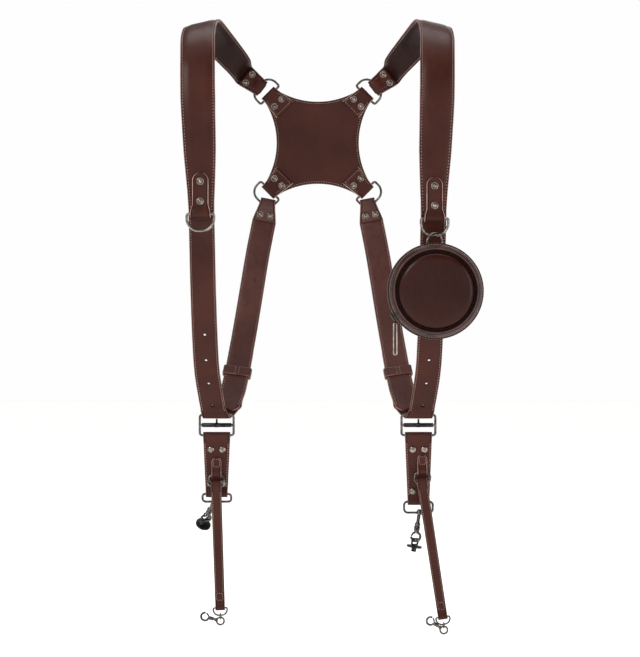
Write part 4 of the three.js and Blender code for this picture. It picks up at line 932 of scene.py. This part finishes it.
def ringTabAndRing(side):
    middle = vec(side["sign"] * ringOut, ringBarBack, -side["ringDrop"])
    length, width, flare = ringTab["length"], ringTab["width"], ringTab["flare"]

    # Flared at the ring, straight, then round at the top
    def widthAt(rise):
        if rise < ringTab["flareRise"]:
            return mix(flare, width, ease(rise / ringTab["flareRise"]))
        top = (rise - length + width / 2) / (width / 2)
        return width * math.sqrt(1.03 - min(top, 1) ** 2) if top > 0 else width

    radius = ringTabBack - ringBarBack
    frontLeg = ringTabBack - tabThick - plyGap

    def leg(rise, y):
        return station(vec(middle[0], y, middle[2] + rise), sideways, widthAt(rise), tabThick)

    rises = [r * length for r in (1, 0.985, 0.96, 0.93, 0.89, 0.85, 0.8, 0.65, 0.5, 0.38, 0.26, 0.2)]
    stations = [leg(r, ringTabBack) for r in rises + [0.12 * length]]
    stations += halfTurn(middle, backwards, -upwards, radius, sideways, flare, tabThick, 12)
    stations.append(leg(0.07 * length, middle[1] - 0.8 * radius))
    stations.append(leg(0.16 * length, mix(middle[1], frontLeg, 0.6) - 0.3 * radius))
    stations += [leg(r, frontLeg) for r in reversed(rises)]
    leatherStrap(side["name"] + "_ring_tab", stations, [strapLeather, edgePale, groove],
                 press=0.2, inset=1.8, gap=1.1)
    for share in (0.31, 0.79):
        at = vec(middle[0], frontLeg - tabThick / 2, middle[2] + share * length)
        rivets.append(rivetMesh(at, -backwards, ringTab["rivet"], rivet["height"]))
    owner = "left_strap_ring" if side["name"] == "left" else "pouch"
    line = ringPath(middle, sideways, -upwards, **strapRing)
    ring = wireMesh(line, strapRing["wire"], backwards, 16)
    addMetal(side["name"] + "_strap_ring", "_wire", ring, ringMetal, owner)


def cameraTab(side):
    out, tab = side["sign"] * buckleHalfSpan, side["tab"]
    wide, taper = cameraTabSize["width"], cameraTabSize["taper"]
    stations = doubled(vec(out, buckleBack, lowerBar), vec(out, buckleBack, lowerBar - tab), sideways,
                       buckleSize["wire"], loop["wire"], 0, 0, tabThick, wide, taper * wide)
    leatherStrap(side["name"] + "_camera_tab", stations, [strapLeather, edgeBrown, groove], closed=True,
                 press=0.28, inset=cameraTabSize["seam"], gap=1.2)
    drop = np.linspace(cameraTabSize["seamTop"], tab - cameraTabSize["seamFoot"], 30)
    half = wide * mix(1, taper, drop / tab) / 2 - cameraTabSize["seam"]
    for facing in (-1, 1):
        level = np.full(len(drop), buckleBack + facing * (plyGap / 2 + tabThick - 0.1))
        for edge in (-1, 1):
            line = np.column_stack([out + edge * half, level, lowerBar - drop])
            sew("harness", line, backwards * facing, pitch=3.0)
    for drop in (cameraTabRivets["top"], tab - cameraTabRivets["foot"]):
        front = vec(out, tabFront, lowerBar - drop)
        rear = vec(out, buckleBack + plyGap / 2 + tabThick, lowerBar - drop)
        rivetPair(front, rear, sideways, cameraTabRivets["spread"] * wide, cameraTabRivets["rear"], plain=True)


# Tethers with their rings, links and clasps
tetherTabBack = tabFront - seatGap - thinThick / 2
tetherRing = dict(diameter=20.5, wire=2.2, lean=16)
tetherRingBack = tetherTabBack - tetherRing["wire"] / 2 - wireGap - thinThick / 2
tetherDatum = lowerBar - 11  # that each tether's falls are measured from
tetherTab = dict(width=11, room=3, seam=1.5, box=8.5, boxTop=18.2)
tetherSize = dict(width=12, taper=0.92, room=5, seam=1.5, box=8, boxRise=17, sewnFrom=4.5)
boxWidth = 7.2
claspSize = dict(eye=10.5, jaw=11, apart=18.5, wire=2)
link = dict(diameter=8.2, wire=1.4)
clear = 0.4


# Four rows of small stitches round a box.
def boxStitch(corner, across, down, normal, width, height):
    far = corner + across * width
    box = [corner, far, far + down * height, corner + down * height, corner]
    for first, second in zip(box, box[1:]):
        steps = max(4, int(np.linalg.norm(second - first)))
        line = mix(first, second, np.linspace(0.04, 0.96, steps)[:, None])
        sew("harness", line, normal, pitch=1.9, length=1.35, width=0.5)


# Cheeks on both sides of a gate, from the body's wire to the gate's pin.
def gateCheeks(root, end, apart, diameter, around):
    return [rod(root + backwards * y, end + backwards * y, diameter, around) for y in (-apart, apart)]


def gatePin(at, r, length, steps):
    rows = [(0, 0), (r - 0.1, 0.05), (r, 0.3), (r, length - 0.3), (r - 0.1, length - 0.05), (0, length)]
    return lathe(at - backwards * length / 2, backwards, rows, steps)


# Small tab that holds the tether's ring, rounded at its top. Returns the bottom of the ring.
def tetherTabAndRing(side):
    name, wire = side["name"], tetherRing["wire"]
    half = (tetherRing["diameter"] - wire) / 2
    hang = vec(side["sign"] * side["ringOut"], tetherRingBack, tetherDatum - side["ringFall"])
    lean = math.radians(tetherRing["lean"])
    ringUp = vec(0, math.sin(lean), math.cos(lean))
    middle = hang + upwards * half - ringUp * half
    path = roundPath(middle, sideways, ringUp, tetherRing["diameter"], wire)
    addMetal(name + "_tether_ring", "_wire", wireMesh(path, wire, np.cross(sideways, ringUp), 14))
    room = tetherTab["room"]
    start = vec(hang[0], tetherTabBack, hang[2] + half - room)
    rounded = (14.8, 16.4, 17.8, 18.9, 19.6, 20)

    def widthAt(rise):
        return float(np.interp(rise, rounded, (tetherTab["width"], 10.8, 10, 8.6, 6.8, 5)))

    fold, back, closed = foldOver(start, -upwards, sideways, -backwards, wire, room, thinThick, widthAt)
    for rise in rounded:
        back(rise, closed)
    rear = [station(start + upwards * rise, sideways, widthAt(rise), thinThick) for rise in (*rounded[::-1], 9)]
    leatherStrap(name + "_tether_tab", rear + fold, [strapLeather, edgePale, groove],
                 gap=1.0, edgeRound=0.5, press=0.12, inset=tetherTab["seam"])
    surface = start - backwards * (closed + thinThick / 2)
    corner = surface + upwards * tetherTab["boxTop"] - sideways * boxWidth / 2
    boxStitch(corner, sideways, -upwards, -backwards, boxWidth, tetherTab["box"])
    return middle - ringUp * half


# Doubled strap from the ring down to the end ring. Returns where that ring hangs to.
def tether(side, low):
    name, wide, taper = side["name"], tetherSize["width"], tetherSize["taper"]
    end = vec(side["sign"] * side["endOut"], tetherRingBack - 6, tetherDatum - side["endFall"])
    down = unit(end - low)
    across = unit(sideways - down * down[0])
    stations = doubled(low - down * tetherSize["room"], end, across, 1.6 * tetherRing["wire"], endRing["wire"],
                       tetherSize["room"], 0, thinThick, wide, taper * wide)
    leatherStrap(name + "_tether", stations, [strapLeather, edgeBrown, groove], closed=True,
                 gap=1.3, edgeRound=0.5, press=0.15, inset=tetherSize["seam"])
    length = np.linalg.norm(end - low)
    face = unit(np.cross(down, across))
    if face[1] > 0:
        face = -face
    surface = plyGap / 2 + thinThick
    boxTop = length - tetherSize["boxRise"]
    t = np.linspace(tetherSize["sewnFrom"], boxTop - 0.8, 56)[:, None]
    half = mix(wide, taper * wide, t / length) / 2 - tetherSize["seam"]
    for facing in (face, -face):
        for edge in (-1, 1):
            line = low + down * t + across * edge * half + facing * (surface - 0.05)
            sew("harness", line, facing, pitch=2.6, length=1.8, width=0.5)
    corner = low + down * boxTop - across * boxWidth / 2 + face * (surface - 0.02)
    boxStitch(corner, across, down, face, boxWidth, tetherSize["box"])
    ring = wireMesh(ringPath(end, across, down, **endRing), endRing["wire"], np.cross(down, across), 14)
    addMetal(name + "_end_ring", "_wire", ring)
    return end + down * (endRing["depth"] - endRing["wire"])


# Snap clasp below its link: an eye, a turned neck, an open jaw and a gate on a pin.
def clasp(side, hang):
    name, wire = side["name"], claspSize["wire"]
    apart = endRing["wire"] / 2 + wire / 2 + clear
    path = roundPath(hang - upwards * apart / 2, backwards, upwards, **link, steps=32)
    addMetal(name + "_link", "_wire", wireMesh(path, link["wire"], sideways))
    eye = hang - upwards * (apart + (claspSize["eye"] - wire) / 2)
    turn = math.radians(180 - side["claspTurn"])
    along, beside = vec(math.cos(turn), 0, math.sin(turn)), vec(-math.sin(turn), 0, math.cos(turn))
    jaw = eye + along * claspSize["apart"]
    radius = (claspSize["jaw"] - wire) / 2
    eyeWire = wireMesh(roundPath(eye, along, beside, claspSize["eye"], wire, 40), 1.15 * wire, backwards, 14)
    neckStart, neckEnd = eye + along * (claspSize["eye"] / 2 - wire), jaw - along * radius
    span = np.linalg.norm(neckEnd - neckStart)
    rows = [(0, 0), (1.6, 0.1), (2.1, 0.7), (2.1, 0.3 * span), (1.4, 0.36 * span), (1.4, 0.44 * span),
            (2.1, 0.5 * span), (2.2, span - 0.9), (1.6, span - 0.1), (0, span)]
    jawWire = wireMesh(arc(jaw, along, beside, radius, 180, -85, 36), 1.3 * wire, backwards, 14, closed=False)
    root = arc(jaw, along, beside, radius, 184, 184, 1)[0]
    pin, tip = arc(jaw, along, beside, radius, 205, 262, 1)
    parts = joinParts(eyeWire, lathe(neckStart, along, rows, 20), jawWire, *gateCheeks(root, pin, 1.3, 1.5, 12))
    addMetal(name + "_clasp", "_metal", parts)
    gate = joinParts(rod(pin, tip, 0.9 * wire, 14), gatePin(pin, 0.5, 4.2, 16))
    addMetal(name + "_clasp_lever", "_metal", gate, blackened, name + "_clasp_lever")


for side in sides:
    ringTabAndRing(side)
    cameraTab(side)
    clasp(side, tether(side, tetherTabAndRing(side)))
print("tabs and tethers made")

# Swivel hooks, gate levers and screw plates
hub = dict(wide=6.6, high=5, bore=3.4)
shankLength = 10
barrel = dict(wide=7, length=10)
hookSize = dict(wide=13, wire=2.6)
bail = dict(width=15, height=9, bend=2.2, wire=2.2)
plate = dict(wide=18, thick=3, stud=6.35, studLength=5, turn=55)
loopDrop = loop["height"] - loop["wire"]
centre = vec(0, 0, 0)


def turnAbout(points, axis, degrees):
    c, s = math.cos(math.radians(degrees)), math.sin(math.radians(degrees))
    x, y, z = points.T
    if axis == "x":
        return np.column_stack([x, y * c - z * s, y * s + z * c])
    return np.column_stack([x * c + z * s, y, -x * s + z * c])


def leaned(side, part):
    return turnAbout(part[0], "y", side["lean"]) + vec(side["shift"], 0, -loopDrop), part[1]


# Each piece is made upright below the hub, then leaned, tilted and hung below its tab.
def hung(side, part):
    place = vec(side["sign"] * buckleHalfSpan, buckleBack, lowerBar - side["tab"])
    return turnAbout(part[0], "x", side["tilt"]) + place, part[1]


def loopAndHub(side):
    path = framePath(vec(0, 0, -loopDrop / 2), sideways, upwards, **loop)
    h, r, b = hub["high"] / 2, hub["wide"] / 2, hub["bore"] / 2
    rows = [(b, -h), (r - 0.4, -h), (r, -h + 0.5), (r + 0.25, 0), (r, h - 0.5), (r - 0.4, h), (b, h), (b, -h)]
    sleeve = leaned(side, lathe(centre, upwards, rows, 32))
    part = hung(side, joinParts(wireMesh(path, loop["wire"], backwards, 16), sleeve))
    addMetal(side["name"] + "_loop", "_metal", part, body=side["name"] + "_loop")


def hookAndLever(side):
    name, wire = side["name"] + "_hook", hookSize["wire"]
    head = hub["high"] / 2 + 0.3
    shankEnd = -hub["high"] / 2 - shankLength
    barrelEnd = shankEnd - barrel["length"]
    radius = (hookSize["wide"] - wire) / 2
    ring = vec(0, 0, barrelEnd - radius - 0.2 * wire)
    w = barrel["wide"] / 2
    # Turned head, shank and barrel with a groove round it
    profile = [
        (0, head + 1.35), (1.6, head + 1.2), (2.5, head + 0.7), (2.7, head + 0.2), (2.6, head),
        (1.4, head - 0.1), (1.4, -head), (2.1, -head - 0.7), (2.3, -head - 1.5), (2.0, shankEnd + 2.4),
        (2.3, shankEnd + 0.9), (w - 0.5, shankEnd), (w, shankEnd - 0.6),
        (w, shankEnd - 2.0), (w - 0.6, shankEnd - 2.4), (w - 0.6, shankEnd - 3.0), (w, shankEnd - 3.4),
        (w, barrelEnd + 1.6), (w - 0.7, barrelEnd + 0.5), (w - 1.4, barrelEnd + 0.1), (0, barrelEnd),
    ]
    path = arc(ring, sideways, upwards, radius, 92, -172, 48)
    curl = wireMesh(path, 1.2 * wire, backwards, 16, closed=False)
    root = arc(ring, sideways, upwards, radius, 98, 98, 1)[0]
    pin, tip = arc(ring, sideways, upwards, radius, 134, 179, 1)
    parts = joinParts(lathe(centre, upwards, profile[::-1], 28), curl, *gateCheeks(root, pin, 2.0, 2.2, 14))
    addMetal(name, "_metal", hung(side, leaned(side, parts)), body=name)
    gate = joinParts(rod(mix(pin, tip, -0.12), tip, 0.8 * wire, 16), gatePin(pin, 0.8, 6.4, 20))
    addMetal(name + "_lever", "_metal", hung(side, leaned(side, gate)), blackened, name + "_lever")
    return ring[2] - radius + wire / 2


# Bail and round plate with a coin edge and a threaded stud, below the curl's inside.
def screwPlate(side, curlInside):
    turn = math.radians(plate["turn"])
    width = vec(math.cos(turn), math.sin(turn), 0)
    wire = bail["wire"]
    bailTop = curlInside + wire / 2 + clear
    path = framePath(vec(0, 0, bailTop - (bail["height"] - wire) / 2), width, upwards, **bail)
    top = bailTop - bail["height"] + 0.8 * wire
    r, s = plate["wide"] / 2, plate["stud"] / 2
    under = top - plate["thick"]
    rows = [(0, top), (3.2, top), (3.6, top - 0.2), (r - 0.9, top - 0.25), (r - 0.3, top - 0.6)]
    for k in range(4):
        rows += [(r, top - 0.8 - 0.45 * k), (r - 0.18, top - 1.0 - 0.45 * k)]
    rows += [(r, under + 0.35), (r - 0.35, under), (s, under)]
    for k in range(4):
        rows += [(s - 0.45, under - 0.5 - k * 1.05), (s, under - 0.95 - k * 1.05)]
    rows += [(s - 0.5, under - plate["studLength"] + 0.2), (0, under - plate["studLength"])]
    bailWire = wireMesh(path, wire, np.cross(width, upwards), 14)
    parts = hung(side, leaned(side, joinParts(bailWire, lathe(centre, upwards, rows[::-1], 48))))
    addMetal(side["name"] + "_screw_plate", "_metal", parts, blackened, side["name"] + "_hook")


for side in sides:
    loopAndHub(side)
    screwPlate(side, hookAndLever(side))
print("hooks made")

# Pouch on the right strap ring
pouchMiddle = vec(130.7, -15, -313.5)
pouchRim = 107 / 2
toFront = -backwards
shellSteps = 112
zipHeight = 15
teeth = dict(count=150, radius=51.55, half=(1.25, 0.55, 0.85), stagger=0.28)
slider = dict(angle=211.6, thick=3.2, length=9, wide=7, eye=5.6, eyeWire=1.2)
pull = dict(width=5, height=36, bend=1.4, wire=1.4)
pouchRing = dict(diameter=23, wire=2, turn=34)
loopLength, loopWidth = 20, 7


# Rows of radius and height through soft bends, for turned leather shells.
def softRows(rows):
    return [(p[0], p[1]) for p in smoothLine(rows, 4)]


def pouchShells():
    # Front shell: shallow dome, pressed groove, corded rim, then the wall down to the zip
    outer = [(0, 30), (10, 29.98), (20, 29.85), (30, 29.4), (35.5, 28.8), (38.8, 27.9), (40.6, 26.6),
             (41.6, 24.9), (42.3, 23.4), (43.1, 22.9), (43.9, 23.3), (44.5, 24.6), (45.5, 25.7), (46.8, 26.1),
             (48, 25.6), (48.8, 24.4), (49.3, 23.2), (50, 22.4), (50.6, 21), (50.95, 19), (51, 17.3), (50.7, 16.75)]
    inner = [(48.9, 16.75), (48.6, 17.4), (48.6, 19), (47.2, 20.6), (43.5, 21.4), (40, 24), (30, 26.2),
             (0, 27.2)]
    rows = softRows(outer) + inner
    tags = []
    for (r, h), (r2, _) in zip(rows[:-1], rows[1:]):
        # Rows in the groove between dome and rim take near black leather, as painted shade.
        low = h > 18 and 41.5 < (r + r2) / 2 < 44.2
        # Rows on the tops of the two cords take the lighter edge leather, as painted highlight.
        pipingHighlight = h > 22.5 and (45.6 < r < 47.3 or 49.1 < r < 49.8)
        tags += [2 if low else 1 if pipingHighlight else 0] * shellSteps
    shell = lathe(pouchMiddle, toFront, rows, shellSteps)
    looks = [pouchLeather, cutEdgeAndPipingHighlight, groove]
    addMesh("pouch_front_leather", shell, looks, "pouch_front", "pouch", tags)
    back = [(0, 0.25), (20, 0.1), (36, 0.0), (47, 0.1), (49.6, 0.5), (51.4, 1.6), (52.7, 3.6), (53.3, 6.0),
            (53.45, 8.0), (53.2, 9.4), (52.7, 10.2), (52.75, 10.9), (53.2, 11.6), (53.4, 12.4), (53.2, 13.1),
            (52.7, 13.3)]
    inside = [(51.2, 13.3), (51, 12.6), (51, 8), (50, 4), (48, 2.6), (0, 2.4)]
    shell = lathe(pouchMiddle, toFront, softRows(back) + inside, shellSteps)
    addMesh("pouch_back_leather", shell, [pouchLeather], "pouch_back", "pouch")
    # Sewn lines round the wall of the front shell and round the back shell
    angles = np.linspace(0, 2 * math.pi, 180)[:, None]
    out = np.cos(angles) * sideways + np.sin(angles) * upwards
    for radius, height in ((51.2, 20.0), (53.55, 8.6)):
        sew("pouch", pouchMiddle + toFront * height + radius * out, out, length=2.2, width=0.5, lift=-0.05)


# Zip: a ring of tape with a tooth every few degrees, set in turn to the front and the back.
def pouchZip():
    rows = [(49.2, 13.7), (51.5, 13.65), (51.8, 13.9), (51.6, 14.5), (51.5, 15), (51.6, 15.5), (51.8, 16.1),
            (51.5, 16.35), (49.2, 16.3), (49.2, 13.7)]
    ring = lathe(pouchMiddle, toFront, rows, shellSteps)
    addMesh("pouch_zip_tape", ring, [tape], "pouch_zip", "pouch")
    s, size = np.array([(-0.6, 0.7), (-0.35, 1), (0.35, 1), (0.6, 0.7)]).T[:, :, None, None]
    u, v = np.array([(-1, -1), (1, -1), (1, 1), (-1, 1)]).T[:, :, None]
    length, wide, high = teeth["half"]
    parts = []
    for k in range(teeth["count"]):
        a = 2 * math.pi * k / teeth["count"]
        out, along = vec(math.cos(a), 0, math.sin(a)), vec(-math.sin(a), 0, math.cos(a))
        shift = teeth["stagger"] * (1 if k % 2 else -1)
        at = pouchMiddle + toFront * (zipHeight + shift) + out * teeth["radius"]
        parts.append(loft(at + along * s * length + size * (out * u * wide + toFront * v * high)))
    addMesh("pouch_zip_teeth", joinParts(*parts), [toothMetal], body="pouch")


def zipSliderAndPull():
    a = math.radians(slider["angle"])
    out, down = vec(math.cos(a), 0, math.sin(a)), vec(-math.sin(a), 0, math.cos(a))
    middle = pouchMiddle + toFront * zipHeight + out * (pouchRim + seatGap + slider["thick"] / 2)
    angles = np.linspace(0, 2 * math.pi, 28, endpoint=False)[:, None]
    c, s = (np.sign(wave) * np.abs(wave) ** 0.5 for wave in (np.cos(angles), np.sin(angles)))
    wide, thick = slider["wide"] / 2 * c, slider["thick"] / 2 * s
    # Shares of the length, the width and the thickness from nose to tail
    shape = [(-0.5, 0.55, 0.5), (-0.46, 0.8, 0.85), (-0.35, 0.97, 1), (-0.1, 1, 0.92), (0.1, 0.86, 0.8),
             (0.3, 0.72, 0.85), (0.46, 0.62, 0.7), (0.5, 0.5, 0.5)]
    rings = [middle + down * t * slider["length"] + backwards * w * wide + out * h * thick for t, w, h in shape]
    half, wire = slider["eye"] / 2, slider["eyeWire"]
    eye = middle + down * slider["length"] / 2 - upwards * (half - 0.5)
    eyeWire = wireMesh(roundPath(eye, backwards, upwards, slider["eye"], wire, 28), wire, sideways)
    addMetal("zip_slider", "_metal", joinParts(loft(rings), eyeWire), blackened, "pouch")
    top = eye - upwards * (half - wire - pull["wire"] / 2 - seatGap)
    path = framePath(top - upwards * (pull["height"] - pull["wire"]) / 2, sideways, upwards, **pull)
    addMetal("zip_pull", "_wire", wireMesh(path, pull["wire"], backwards), nickel, "zip_pull")


# Jump ring through the strap ring, and the leather loop from it to the pouch's back.
def pouchHanging():
    wire = pouchRing["wire"]
    bow = vec(ringOut, ringBarBack, -sides[1]["ringDrop"] - strapRing["depth"] + strapRing["wire"])
    radius = (pouchRing["diameter"] - wire) / 2
    middle = bow + upwards * ((strapRing["wire"] + wire) / 2 + 1.7 * clear - radius)
    turn = math.radians(pouchRing["turn"])
    across = vec(math.cos(turn), math.sin(turn), 0)
    path = roundPath(middle, across, upwards, pouchRing["diameter"], wire, 56)
    addMetal("pouch_ring", "_wire", wireMesh(path, wire, np.cross(across, upwards), 14), ringMetal, "pouch")
    top = middle - upwards * (radius - 1.6)
    foot = vec(top[0], pouchMiddle[1] + seatGap + thinThick + plyGap / 2, top[2] - loopLength)
    straight = doubled(top, foot, sideways, 1.5 * wire, 0.2, 1.6, 0, thinThick, loopWidth, loopWidth)
    # Twisted from the jump ring's plane to the pouch's
    stations = []
    for at, _, width, thick, _ in straight:
        share = np.clip((top[2] - at[2]) / loopLength, 0, 1)
        b = turn * (1 - ease(1.4 * share))
        stations.append(station(at, vec(math.cos(b), math.sin(b), 0), width, thick, True))
    leatherStrap("pouch_loop", stations, [pouchLeather, cutEdgeAndPipingHighlight], "pouch", closed=True,
                 gap=0.9, edgeRound=0.5)


pouchShells()
pouchZip()
zipSliderAndPull()
pouchHanging()
print("pouch made")

# Rivets in one mesh, sewing in one for each body, or several where it is a long run
addMesh("harness_rivets", joinParts(*rivets), [rivetMetal])
stitchesInMesh = 1500
for body, parts in threads.items():
    for first in range(0, len(parts), stitchesInMesh):
        name = body + "_sewing_" + str(first // stitchesInMesh + 1)
        addMesh(name, joinParts(*parts[first:first + stitchesInMesh]), [thread], body=body)
print("rivets made, and stitches", sum(len(parts) for parts in threads.values()))


# Floor, light and camera, in metres
def flatFloor(reach=9.0, z=-0.775):
    mesh = bpy.data.meshes.new("floor")
    corners = [(-reach, -reach, z), (reach, -reach, z), (reach, reach, z), (-reach, reach, z)]
    mesh.from_pydata(corners, [], [(0, 1, 2, 3)])
    floor = bpy.data.objects.new("floor", mesh)
    bpy.context.collection.objects.link(floor)
    # Matt white paper, with a glow of its own that keeps the far edge out of sight
    material, tree, place = newMaterial("white paper")
    grain = node(tree, "TexNoise", {"Vector": place, "Scale": 60.0})
    tone = node(tree, "Mix", {0: grain, 6: linear("#f4f3f2"), 7: linear("#f8f7f6")}, data_type="RGBA")
    shader = node(tree, "BsdfPrincipled", {
        "Base Color": tone.outputs[2], "Roughness": 0.9,
        "Emission Color": linear("#fffefd"), "Emission Strength": 0.5})
    node(tree, "OutputMaterial", {0: shader})
    mesh.materials.append(material)


def softLight(name, place, target, size, power):
    data = bpy.data.lights.new(name, "AREA")
    data.shape = "RECTANGLE"
    data.size, data.size_y = size
    data.energy = power
    lamp = bpy.data.objects.new(name, data)
    bpy.context.collection.objects.link(lamp)
    lamp.location = place
    lamp.rotation_euler = (Vector(target) - Vector(place)).to_track_quat("-Z", "Y").to_euler()


# White at eye level, with a darker band above it that gives the metal its contrast.
def studioWorld():
    world = bpy.data.worlds.new("studio")
    world.use_nodes = True
    sky = world.node_tree
    ray = node(sky, "TexCoord").outputs["Generated"]
    height = node(sky, "SeparateXYZ", {"Vector": ray})
    share = node(sky, "MapRange", {0: height.outputs["Z"], 1: -1.0})
    shades = node(sky, "ValToRGB", {"Fac": share})
    levels = ((0, 0.99), (0.66, 0.99), (0.72, 0.2), (0.88, 0.2), (0.97, 0.99), (1, 0.99))
    setStops(shades, *((place, (level, level, level, 1)) for place, level in levels))
    sky.links.new(shades.outputs["Color"], sky.nodes["Background"].inputs[0])
    sky.nodes["Background"].inputs[1].default_value = 1.0
    bpy.context.scene.world = world


# As far off and as long a lens as the photo's, square on to the front.
def frontCamera():
    data = bpy.data.cameras.new("camera")
    data.sensor_width = 36
    data.lens = 107.6
    data.clip_end = 60
    camera = bpy.data.objects.new("camera", data)
    bpy.context.collection.objects.link(camera)
    camera.location = (0.0028, -2.2, -0.355)
    camera.rotation_euler = (math.pi / 2, 0, 0)
    bpy.context.scene.camera = camera


flatFloor()
softLight("key", (-1.5, -2.0, 1.3), (0, 0, -0.25), (1.4, 1.1), 34)
softLight("strip", (1.9, -1.7, 0.1), (0, 0, -0.35), (0.35, 1.9), 12)
softLight("top", (0.1, 0.6, 2.1), (0, 0.05, -0.3), (1.8, 1.4), 20)
softLight("rim", (0.6, 2.2, 0.6), (0, 0, -0.3), (1.8, 1.4), 10)
studioWorld()
bpy.context.scene.view_settings.view_transform = "Standard"
frontCamera()
print("floor, light and camera made")
